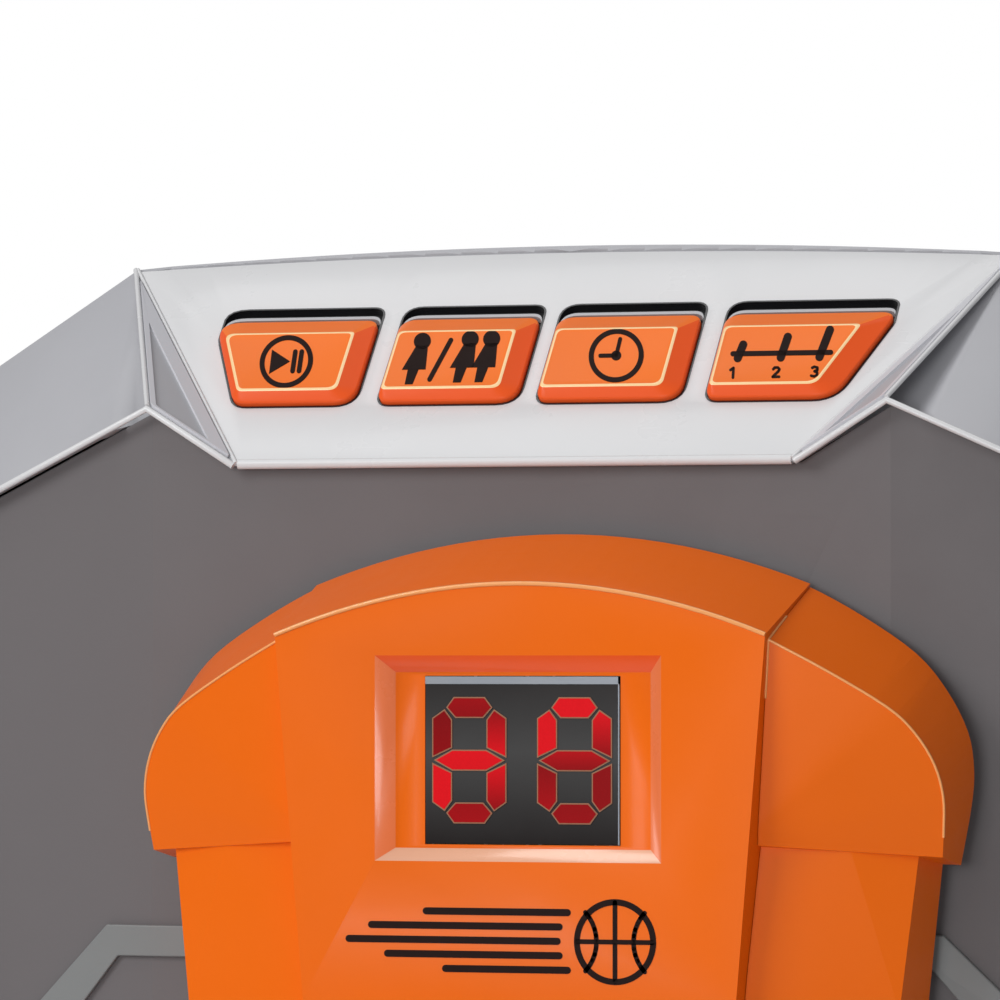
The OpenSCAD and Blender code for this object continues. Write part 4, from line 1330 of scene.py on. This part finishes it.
def build_pictograms():
    """Dark prints on the four keys."""
    sheet = key_print(-80.1, 39.9)
    sheet.ring((0, 0), 8.7, 1.6)
    sheet.shape([(-5.3, -4.0), (1.2, 0.0), (-5.0, 4.0)])
    for x in (2.5, 4.6):
        sheet.bar((x - 0.2, -3.2), (x + 0.2, 3.2), 1.5)
    sheet.done("start_print", "start_key")
    sheet = key_print(-38.3, 39.7)
    for x, y in ((0.0, 0.0), (15.4, 0.4), (22.3, 0.4)):
        child(sheet, x, y)
    sheet.bar((11.2, 6.4), (5.1, -6.4), 1.5)
    sheet.done("players_print", "players_key")
    sheet = key_print(25.8, 40.4)
    sheet.ring((0, 0), 8.7, 1.6)
    sheet.shape(circle(1.6, 24, (0, 0)))
    sheet.bar((0, 0), (1.1, 5.4), 1.2)
    sheet.bar((0, 0), (-5.0, 0), 1.3)
    sheet.done("timer_print", "timer_key")
    sheet = key_print(77.7, 40.4)
    sheet.bar((-15.2, 0), (15.2, 0), 1.6)
    for foot, head, label in (((-13.7, -1.5), (-12.0, 3.0), "1"), ((-0.3, -1.5), (1.9, 5.3), "2"),
                              ((11.7, -1.5), (15.0, 7.4), "3")):
        sheet.bar(foot, head, 2.5)
        left, bottom = foot[0] - 2.6, foot[1] - 6.3
        sheet.line([(left + u * 0.8, bottom + v * 0.66) for u, v in DIGIT_STROKES[label]], 0.8)
    sheet.done("level_print", "level_key")


# ---------------------------------------------------------------- score unit

# The recess round the display: its middle under the unit's datum, its half sizes and its depth
RECESS_DROP = 77
RECESS_HALF = (0.0445, 0.032)
RECESS_DEPTH = 0.0056


def build_score_face():
    """The unit's middle block; the bevels of its recess carry painted light: a painted highlight on the lower
    bevel, which faces up, painted light on the side bevels and painted shade on the upper bevel, which faces
    down.
    """
    build = merged_copy("score_face")
    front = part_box("score_face")[0].y
    middle = unit_at(0, 0, -RECESS_DROP)
    for face in build.faces:
        centre = face.calc_center_median()
        sunk = front + 0.0002 < centre.y < front + RECESS_DEPTH
        near = abs(centre.x - middle.x) < RECESS_HALF[0] and abs(centre.z - middle.z) <= RECESS_HALF[1]
        if not sunk or not near or face.normal.y > -0.1:
            continue
        # Painted light by facing: the bevel facing up gets a painted highlight, the side bevels painted side
        # light, the bevel facing down painted shade.
        if face.normal.z > 0.3:
            face.material_index = 1
        elif face.normal.z < -0.3:
            face.material_index = 3
        elif abs(face.normal.x) > 0.3:
            face.material_index = 2
    # The orange shell, then the recess's painted highlight, painted side light and painted shade.
    coats = [orange_shell(),
             plastic("recess_painted_highlight", (0.90, 0.47, 0.30), roughness=0.3, coat=0.4, mottle=0.03),
             plastic("recess_painted_side_light", (0.85, 0.19, 0.055), roughness=0.3, coat=0.3, mottle=0.03),
             plastic("recess_painted_shade", (0.82, 0.088, 0.008), roughness=0.22, coat=0.5, mottle=0.10)]
    thing = from_bmesh("score_face_finished", build, coats, 24.0)
    settle(thing, "unit", "unit_orange", "score_face")


# Paler orange than the shell: painted highlight lines along the unit's front edges.
def edge_highlight_plastic():
    return plastic("edge_line", (0.95, 0.40, 0.13), roughness=0.2, coat=0.5, mottle=0.02)


def build_score_unit():
    build_score_face()
    for side in ("left", "right"):
        refined(side + "_side_cover", orange_shell(), 0.0009, 24.0, 3)
    refined("rear_plate", black_moulding(), 0.0005)
    # Painted highlight lines: pale cords along the block's arch and along the side covers' front edges.
    outline, _ = facing_loops("score_face", (0, -1, 0), TO_PLAYER)[0]
    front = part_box("score_face")[0].y
    arch = [Vector((x, front, z)) for x, z in outline if z > unit_at(0, 0, -41).z]
    arch.sort(key=lambda p: p.x)
    cord_piece("arch_edge_line", line_mesh("arch_line", [(arch, False)]), 0.0007, edge_highlight_plastic(), "unit",
               "unit_orange", 8)
    for side, sign in (("left", -1), ("right", 1)):
        def on_front(point):
            x, y, z = (point - UNIT) / MM
            return y < -20 and z > -100 and sign * x > 74
        pairs = sharp_edges(side + "_side_cover", 22, lambda a, b: on_front(a) and on_front(b))
        cord_piece(side + "_edge_line", joined_edges("edge_highlights", pairs), 0.0004, edge_highlight_plastic(),
                   "unit", "unit_orange", 8)


# The widths of the metal trim along the display's upper edge and its right side
TRIM_TOP = 0.0022
TRIM_SIDE = 0.0004


def build_display():
    """The smoked display block with its trim, the outlined digit bars and the board behind."""
    low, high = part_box("display_window")
    refined("display_window", finish_named("smoked", smoked, low.z, high.z), 0.0002, segments=2)
    trim = bmesh.new()
    front = -low.y
    for left, bottom in ((low.x, high.z - TRIM_TOP), (high.x - TRIM_SIDE, low.z)):
        outline = [(left, bottom), (high.x, bottom), (high.x, high.z), (left, high.z)]
        prism(trim, outline, front - 0.0006, front + 0.00015, TO_PLAYER)
    metal = finish_named("trim_metal", drawn_steel, (0.26, 0.28, 0.31), "X", 0.3)
    settle(from_bmesh("window_trim", trim, metal, 30.0), "unit", "display_black")
    refined("display_board", finish_named("circuit", circuit), 0.0002)
    build_digits()


# How brightly each bar shines at its upper and lower end: top, upper left, upper right, middle, lower
# left, lower right, bottom
BAR_GLOW = (((0.25, 0.12), (0.02, 0.12), (0.15, 1.0), (1.0, 0.9), (1.0, 0.95), (1.0, 0.10), (0.22, 0.3)),
            ((1.0, 1.0), (0.95, 1.0), (1.0, 0.1), (0.5, 0.1), (0.08, 0.35), (0.1, 0.12), (0.15, 0.2)))


def bar_order(box, digit_middle):
    """Which of the seven bars a box is, by its place in the digit."""
    middle = (box[0] + box[1]) / 2 - digit_middle
    if box[1].x - box[0].x > box[1].z - box[0].z:
        return 0 if middle.z > 0.005 else 6 if middle.z < -0.005 else 3
    return (1 if middle.x < 0 else 2) + (0 if middle.z > 0 else 3)


DIGIT_HALF = 0.0115


def build_digits():
    """Seven bars for each digit: a tan outline from the model and a red fill just inside it."""
    low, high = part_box("digit_segments")
    middle_z = (low.z + high.z) / 2
    fills = bmesh.new()
    glow = fills.verts.layers.float.new("glow")
    for outline, height in facing_loops("digit_segments", (0, -1, 0), TO_PLAYER):
        outline = counter_clockwise(outline)
        xs, zs = [p[0] for p in outline], [p[1] for p in outline]
        box = (Vector((min(xs), 0, min(zs))), Vector((max(xs), 0, max(zs))))
        digit = 0 if (min(xs) + max(xs)) / 2 < UNIT.x else 1
        digit_x = low.x + DIGIT_HALF if digit == 0 else high.x - DIGIT_HALF
        ends = BAR_GLOW[digit][bar_order(box, Vector((digit_x, 0, middle_z)))]
        before = set(fills.verts)
        prism(fills, moved_in(outline, 0.00038), height - 0.0003, height + 0.00012, TO_PLAYER)
        for vertex in set(fills.verts) - before:
            share = (vertex.co.z - box[0].z) / (box[1].z - box[0].z)
            vertex[glow] = ends[1] + (ends[0] - ends[1]) * share
    bmesh.ops.triangulate(fills, faces=[f for f in fills.faces if len(f.verts) > 4])
    red = finish_named("lit_bars", lit_bars, tuple(colours().led))
    settle(from_bmesh("digit_fills", fills, red, 30.0), "unit", "digit_red")
    refined("digit_segments", plastic("digit_outline", (0.33, 0.14, 0.07), roughness=0.4))


# The emblem's middle under the unit's datum; its stripes' heights with where each starts and ends
EMBLEM_DROP = 130
STRIPES = ((8.4, -28.0, 15.5), (4.2, -45.0, 13.0), (0.0, -52.0, 12.4), (-4.2, -40.0, 13.0),
           (-8.4, -22.0, 15.5))


def build_emblem():
    """A ball pictogram with motion stripes on the block's lower front; it carries no letters."""
    face = Matrix.Translation(unit_at(0, 0, -EMBLEM_DROP)) @ TO_PLAYER
    face.translation.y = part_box("score_face")[0].y
    sheet = Print(face, 0.0)
    ball, radius = (30.0, 0.0), 12.5
    sheet.ring(ball, radius, 1.8)
    sheet.bar((ball[0] - radius + 1, 0), (ball[0] + radius - 1, 0), 1.4)
    sheet.bar((ball[0], -radius + 1), (ball[0], radius - 1), 1.4)
    for side in (-1, 1):
        curve = [(ball[0] + side * radius * (1.45 - math.cos(t)), radius * math.sin(t))
                 for t in (math.radians(-43 + 8.6 * k) for k in range(11))]
        sheet.line(curve, 1.4)
    for y, start, end in STRIPES:
        sheet.bar((start, y), (end, y), 2.1)
    sheet.done("ball_print", "unit")


# ---------------------------------------------------------------- hoop

NET_ROWS = 7
HOOKS = 12
# The net's shares of its height, each with how much narrower than the rim it is there
NET_PROFILE = ((0.0, 0.0), (0.30, -15.0), (0.73, -36.0), (1.0, -42.0))
CORD_STEPS = 6
HEM_STEPS = 96
KNOT_RADIUS = 0.00235
BACK = math.radians(90)


def gentle(t, share):
    """A share from 0 to 1 with its two ends slowed down by so much of an S-curve."""
    return t * t * (3 - 2 * t) * share + t * (1 - share)


def net_radius(share):
    """The net's radius at a share of its height, eased between its widths."""
    for (s0, r0), (s1, r1) in zip(NET_PROFILE, NET_PROFILE[1:]):
        if share <= s1:
            t = (share - s0) / (s1 - s0)
            return RIM_RADIUS + (r0 + (r1 - r0) * gentle(t, 0.4)) * MM
    return RIM_RADIUS + NET_PROFILE[-1][1] * MM


def rim_way(turn):
    """The level direction from the rim's middle at an angle."""
    return Vector((math.cos(turn), math.sin(turn), 0))


def build_rim():
    """The rim's ring with its wire hooks, its bracket and the bracket's screws."""
    build = bmesh.new()
    around, section = 120, 24
    rings = []
    tube = circle(RIM_TUBE, section)
    for i in range(around):
        out = rim_way(2 * math.pi * i / around)
        rings.append([build.verts.new(RIM + out * (RIM_RADIUS + r) + Vector((0, 0, z))) for r, z in tube])
    skin(build, rings, closed=True)
    coat = finish_named("rim_coat", coated_tube, tuple(shade(colours().unit, 0.97)))
    settle(from_bmesh("rim_ring", build, coat, 60.0), "unit", "rim_orange", "rim")
    turns = [math.radians(-20 * k) for k in range(1, 9)]
    bow = [(1.6 * math.cos(turn), -8.1 + 1.9 * math.sin(turn)) for turn in turns]
    bend = [(1.5, -5.2), (1.6, -7.0), *bow, (-1.6, -7.2), (-2.3, -6.4)]
    hooks = []
    for i in range(HOOKS):
        out = rim_way(2 * math.pi * (i + 0.5) / HOOKS)
        base = RIM + out * RIM_RADIUS
        hooks.append(([base + out * (r * MM) + Vector((0, 0, z * MM)) for r, z in bend], False))
    cord_piece("rim_hooks", line_mesh("hook_lines", hooks), 0.0008, steel("Z"), "unit", "screw_steel", 8)
    refined("rim_bracket", coat, 0.0008)
    screws("rim_screw_heads", "rim_screws", "-Y", 3.5, 2.0)


def build_net():
    """Crossing cords knotted into diamonds, hung on the hooks, with a gap at the back for the score flap."""
    top = RIM.z - 0.0096
    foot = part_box("net")[0].z + 0.001
    pitch = 2 * math.pi / HOOKS

    def place(turn, share):
        point = RIM + rim_way(turn) * net_radius(share)
        point.z = top + (foot - top) * share
        return point

    def row_share(row):
        return (row / NET_ROWS) ** 0.94

    def knot_turn(column, row):
        return (column + 0.5 + (row % 2) / 2) * pitch

    paths, knots = [], []
    for row in range(NET_ROWS):
        for column in range(HOOKS):
            for side in (-1, 1):
                start = knot_turn(column, row)
                end = start + side * pitch / 2
                if row < 2 and abs((start + end) / 2 - BACK) < pitch * 0.30:
                    continue
                path = []
                for k in range(CORD_STEPS + 1):
                    t = k / CORD_STEPS
                    share = row_share(row) + (row_share(row + 1) - row_share(row)) * t
                    point = place(start + (end - start) * gentle(t, 0.45), share)
                    path.append(point + rim_way(start) * (math.sin(math.pi * t) * 0.0012 * side))
                paths.append((path, False))
    for row in range(1, NET_ROWS + 1):
        for column in range(HOOKS):
            turn = knot_turn(column, row)
            if row == 1 and abs(turn - BACK) < 0.01:
                continue
            knots.append(place(turn, row_share(row)))
    hem = [place(2 * math.pi * i / HEM_STEPS, 1.0) + Vector((0, 0, 0.0004 * math.cos(math.pi * i / 2)))
           for i in range(HEM_STEPS)]
    paths.append((hem, True))
    white = finish_named("twisted_cord", twisted_cord, tuple(colours().cord))
    cord_piece("net_cords", line_mesh("net_lines", paths), sizes().net_cord / 2, white, "unit", "net_cord", 8,
               ["net"])
    build = bmesh.new()
    bmesh.ops.create_icosphere(build, subdivisions=2, radius=KNOT_RADIUS)
    for vertex in build.verts:
        x, y, z = vertex.co / KNOT_RADIUS
        vertex.co *= 1 + 0.16 * math.sin(5 * math.atan2(y, x) + 4 * z)
        vertex.co.z *= 1.15
    model = from_bmesh("knot_model", build, [], 60.0)
    recipe = scatter_recipe("net_knot_recipe")
    knot_white = plastic("knot_cord", colours().cord, roughness=0.75, grain=1500.0, grain_depth=0.0001)
    thing = recipe.run("net_knots", point_mesh("knot_places", knots), {
        "Model": model, "Turn": (0, 0, 0), "Material": knot_white}, 60.0)
    bpy.data.objects.remove(model)
    settle(thing, "unit", "net_cord")


def build_flap():
    refined("score_flap", black_moulding(), 0.0005)
    refined("flap_pin", steel("X"), 0.0003)


# ---------------------------------------------------------------- back, power and electronics

GRIP_PITCH = 0.006


def build_back():
    refined("back_cover", base_moulding(), 0.0006, 24.0, 2)
    screws("cover_screw_heads", "cover_screws", "+Y", 4.0, 2.0)
    refined("battery_door", base_moulding(), 0.0004)
    screws("door_screw_head", "door_screw", "+Y", 3.5, 1.5)
    refined("switch_body", black_moulding(), 0.0004)
    refined("power_switch", orange_shell(), 0.0004)
    low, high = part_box("battery_door")
    grip = bmesh.new()
    for k in range(-3, 4):
        x = (low.x + high.x) / 2 + k * GRIP_PITCH
        outline = capsule((x, low.z + 0.012), (x, low.z + 0.026), 0.0011, 6)
        prism(grip, outline, -high.y, -high.y + 0.0007, TO_PLAYER)
    settle(from_bmesh("battery_door_grip", grip, base_moulding(), 30.0), "door", "black_plastic")


CELL_SIDES = 40


def build_power():
    refined("battery_box", black_moulding(), 0.0004)
    refined("battery_contacts", finish_named("plated_screw", plated_screw), 0.0003)
    build = bmesh.new()
    for low, high in islands("battery_cells"):
        middle = (low + high) / 2
        radius = (high.z - low.z) / 2
        half = (high.x - low.x) / 2
        profile = [(-half, 0.86), (-half + 0.0010, 1.0), (half - 0.0034, 1.0), (half - 0.0024, 0.9),
                   (half - 0.0024, 0.36), (half - 0.0004, 0.33), (half, 0.28)]
        rings = [[build.verts.new(middle + Vector((x, y, z))) for y, z in circle(radius * share, CELL_SIDES)]
                 for x, share in profile]
        build.faces.new(rings[0])
        build.faces.new(rings[-1])
        skin(build, rings)
    sleeve = finish_named("printed_sleeve", printed_sleeve)
    settle(from_bmesh("battery_cells_finished", build, sleeve, 30.0), "head", "cell_wrap", "battery_cells")


def build_electronics():
    board = finish_named("circuit", circuit)
    for node in ("key_board", "main_board"):
        refined(node, board, 0.0002)
    refined("board_chips", black_moulding(), 0.0003)
    refined("key_membrane", finish_named("key_rubber", rubber, (0.30, 0.30, 0.31)), 0.0006)
    refined("speaker", black_moulding(), 0.0006)


def build_drive():
    refined("guide_rods", steel("X"), 0.0004)
    refined("rod_blocks", black_moulding(), 0.0006)
    refined("drive_frame", steel("X"), 0.0003)
    refined("gear_motor", steel("Z"), 0.0008)
    refined("drive_shaft", steel("X"), 0.0002)
    refined("drive_pinion", white_acetal(), 0.0002)
    refined("slide_rack", white_acetal(), 0.0002)
    refined("carriage", black_moulding(), 0.0006)
    refined("carriage_bushes", white_acetal(), 0.0003)


# ---------------------------------------------------------------- stage

CAMERA_TURN = math.radians(18.0)
CAMERA_TILT = math.radians(-1.34)
CAMERA_DISTANCE = 1.978
CAMERA_LEFT = 0.003
CAMERA_LENS = 237.4
WORLD_LIGHT = 0.24


def soft_light(name, place, aim, size, power, tint=(1, 1, 1)):
    """A square softbox at a place, turned to a point."""
    data = bpy.data.lights.new(name, "AREA")
    data.shape = "SQUARE"
    data.size = size
    data.energy = power
    data.color = tint
    lamp = bpy.data.objects.new(name, data)
    bpy.context.scene.collection.objects.link(lamp)
    lamp.location = place
    lamp.rotation_euler = (Vector(aim) - Vector(place)).to_track_quat("-Z", "Y").to_euler()
    return lamp


def build_stage():
    """Pale floor, white surroundings, soft lights and the camera."""
    width = sizes().floor
    f = Finish("pale_floor")
    speck = f.noise(9.0, 6.0, rough=0.7)
    f.done(f.blend((0.80, 0.80, 0.80), (0.86, 0.86, 0.86), speck), speck * 0.1 + 0.6, f.relief(speck, 0.0004))
    build = bmesh.new()
    bmesh.ops.create_grid(build, x_segments=8, y_segments=8, size=width / 2)
    floor = from_bmesh("floor", build, f.material)

    world = bpy.data.worlds.new("surroundings")
    bpy.context.scene.world = world
    world.use_nodes = True
    tree = world.node_tree
    tree.nodes.clear()
    seen = tree.nodes.new("ShaderNodeBackground")
    seen.inputs["Color"].default_value = (1, 1, 1, 1)
    lit = tree.nodes.new("ShaderNodeBackground")
    lit.inputs["Color"].default_value = (0.98, 0.99, 1.0, 1)
    lit.inputs["Strength"].default_value = WORLD_LIGHT
    path = tree.nodes.new("ShaderNodeLightPath")
    mix = tree.nodes.new("ShaderNodeMixShader")
    out = tree.nodes.new("ShaderNodeOutputWorld")
    tree.links.new(path.outputs["Is Camera Ray"], mix.inputs[0])
    tree.links.new(lit.outputs[0], mix.inputs[1])
    tree.links.new(seen.outputs[0], mix.inputs[2])
    tree.links.new(mix.outputs[0], out.inputs[0])

    soft_light("key_light", HEAD + Vector((-1.5, -2.0, 1.2)), HEAD, 1.3, 34.0)
    soft_light("top_light", HEAD + Vector((-0.2, -0.3, 1.9)), HEAD, 1.4, 10.0)
    soft_light("front_light", HEAD + Vector((0.05, -2.6, 0.1)), HEAD, 0.8, 18.0)
    soft_light("back_light", HEAD + Vector((1.4, 2.2, 1.0)), HEAD - Vector((0, 0, 0.3)), 1.6, 26.0)

    level = Vector((math.sin(CAMERA_TURN), -math.cos(CAMERA_TURN), 0))
    back = level * math.cos(CAMERA_TILT) + Vector((0, 0, math.sin(CAMERA_TILT)))
    right = Vector((math.cos(CAMERA_TURN), math.sin(CAMERA_TURN), 0))
    data = bpy.data.cameras.new("camera")
    data.lens = CAMERA_LENS
    data.sensor_width = 36.0
    data.clip_start = 0.05
    data.clip_end = 50.0
    camera = bpy.data.objects.new("camera", data)
    bpy.context.scene.collection.objects.link(camera)
    camera.location = HEAD + back * CAMERA_DISTANCE - right * CAMERA_LEFT
    camera.rotation_euler = (-back).to_track_quat("-Z", "Y").to_euler()
    bpy.context.scene.camera = camera
    bpy.context.scene.view_settings.view_transform = "Standard"


# ---------------------------------------------------------------- operators

class HOOP_OT_stage(bpy.types.Operator):
    """Floor, lights and camera"""
    bl_idname = "hoop.stage"
    bl_label = "Stage"

    def execute(self, context):
        build_stage()
        return {"FINISHED"}


class HOOP_OT_base(bpy.types.Operator):
    """Weighted base with plate, weight, feet and screws"""
    bl_idname = "hoop.base"
    bl_label = "Base"

    def execute(self, context):
        build_base()
        return {"FINISHED"}


class HOOP_OT_pole(bpy.types.Operator):
    """Pole tubes, socket, collar, knob and head bracket"""
    bl_idname = "hoop.pole"
    bl_label = "Pole"

    def execute(self, context):
        build_pole()
        return {"FINISHED"}


class HOOP_OT_shell(bpy.types.Operator):
    """Silver bezel with its ears and cheeks"""
    bl_idname = "hoop.shell"
    bl_label = "Head shell"

    def execute(self, context):
        build_shell()
        return {"FINISHED"}


class HOOP_OT_panel(bpy.types.Operator):
    """Dark panel, its stripe and its pale bead"""
    bl_idname = "hoop.panel"
    bl_label = "Front panel"

    def execute(self, context):
        build_panel()
        return {"FINISHED"}


class HOOP_OT_console(bpy.types.Operator):
    """Sloping console with the wells of the keys"""
    bl_idname = "hoop.console"
    bl_label = "Console"

    def execute(self, context):
        build_console()
        return {"FINISHED"}


class HOOP_OT_keys(bpy.types.Operator):
    """Four sloped keys"""
    bl_idname = "hoop.keys"
    bl_label = "Keys"

    def execute(self, context):
        build_keys()
        return {"FINISHED"}


class HOOP_OT_pictograms(bpy.types.Operator):
    """Prints on the keys"""
    bl_idname = "hoop.pictograms"
    bl_label = "Pictograms"

    def execute(self, context):
        build_pictograms()
        return {"FINISHED"}


class HOOP_OT_score_unit(bpy.types.Operator):
    """Orange block and its side covers"""
    bl_idname = "hoop.score_unit"
    bl_label = "Score unit"

    def execute(self, context):
        build_score_unit()
        return {"FINISHED"}


class HOOP_OT_display(bpy.types.Operator):
    """Smoked display with two digits"""
    bl_idname = "hoop.display"
    bl_label = "Display"

    def execute(self, context):
        build_display()
        return {"FINISHED"}


class HOOP_OT_emblem(bpy.types.Operator):
    """Ball pictogram on the unit"""
    bl_idname = "hoop.emblem"
    bl_label = "Emblem"

    def execute(self, context):
        build_emblem()
        return {"FINISHED"}


class HOOP_OT_rim(bpy.types.Operator):
    """Rim with hooks and bracket"""
    bl_idname = "hoop.rim"
    bl_label = "Rim"

    def execute(self, context):
        build_rim()
        return {"FINISHED"}


class HOOP_OT_net(bpy.types.Operator):
    """Knotted net"""
    bl_idname = "hoop.net"
    bl_label = "Net"

    def execute(self, context):
        build_net()
        return {"FINISHED"}


class HOOP_OT_flap(bpy.types.Operator):
    """Flap that counts the balls, and its pin"""
    bl_idname = "hoop.flap"
    bl_label = "Score flap"

    def execute(self, context):
        build_flap()
        return {"FINISHED"}


class HOOP_OT_back(bpy.types.Operator):
    """Back cover, battery door, switch and screws"""
    bl_idname = "hoop.back"
    bl_label = "Back"

    def execute(self, context):
        build_back()
        return {"FINISHED"}


class HOOP_OT_power(bpy.types.Operator):
    """Battery box, cells and contacts"""
    bl_idname = "hoop.power"
    bl_label = "Power"

    def execute(self, context):
        build_power()
        return {"FINISHED"}


class HOOP_OT_electronics(bpy.types.Operator):
    """Boards, chips, membrane and speaker"""
    bl_idname = "hoop.electronics"
    bl_label = "Electronics"

    def execute(self, context):
        build_electronics()
        return {"FINISHED"}


class HOOP_OT_drive(bpy.types.Operator):
    """Rods, motor, pinion, rack and carriage"""
    bl_idname = "hoop.drive"
    bl_label = "Drive"

    def execute(self, context):
        build_drive()
        return {"FINISHED"}


STEPS = [
    HOOP_OT_stage, HOOP_OT_base, HOOP_OT_pole, HOOP_OT_shell, HOOP_OT_panel, HOOP_OT_console,
    HOOP_OT_keys, HOOP_OT_pictograms, HOOP_OT_score_unit, HOOP_OT_display, HOOP_OT_emblem, HOOP_OT_rim,
    HOOP_OT_net, HOOP_OT_flap, HOOP_OT_back, HOOP_OT_power, HOOP_OT_electronics, HOOP_OT_drive
]


class HOOP_PT_panel(bpy.types.Panel):
    """Sidebar panel with the sizes, the colours and one button for each step"""
    bl_idname = "HOOP_PT_panel"
    bl_label = "Basketball hoop machine"
    bl_space_type = "VIEW_3D"
    bl_region_type = "UI"
    bl_category = "Hoop"

    def draw(self, context):
        for group in (context.scene.hoop_sizes, context.scene.hoop_colours):
            column = self.layout.column(align=True)
            for name in group.__annotations__:
                column.prop(group, name)
        for step in STEPS:
            self.layout.operator(step.bl_idname)


CLASSES = [HoopColours, HoopSizes, *STEPS, HOOP_PT_panel]


def register():
    for item in CLASSES:
        bpy.utils.register_class(item)
    bpy.types.Scene.hoop_colours = bpy.props.PointerProperty(type=HoopColours)
    bpy.types.Scene.hoop_sizes = bpy.props.PointerProperty(type=HoopSizes)


def unregister():
    del bpy.types.Scene.hoop_sizes
    del bpy.types.Scene.hoop_colours
    for item in reversed(CLASSES):
        bpy.utils.unregister_class(item)


def corners(box):
    """A box's two corners as one plain list of lists."""
    return [[float(c) for c in corner] for corner in box]


def main():
    """Builds every step."""
    register()
    for step in STEPS:
        getattr(bpy.ops.hoop, step.bl_idname.split(".")[1])()


if __name__ == "__main__":
    main()
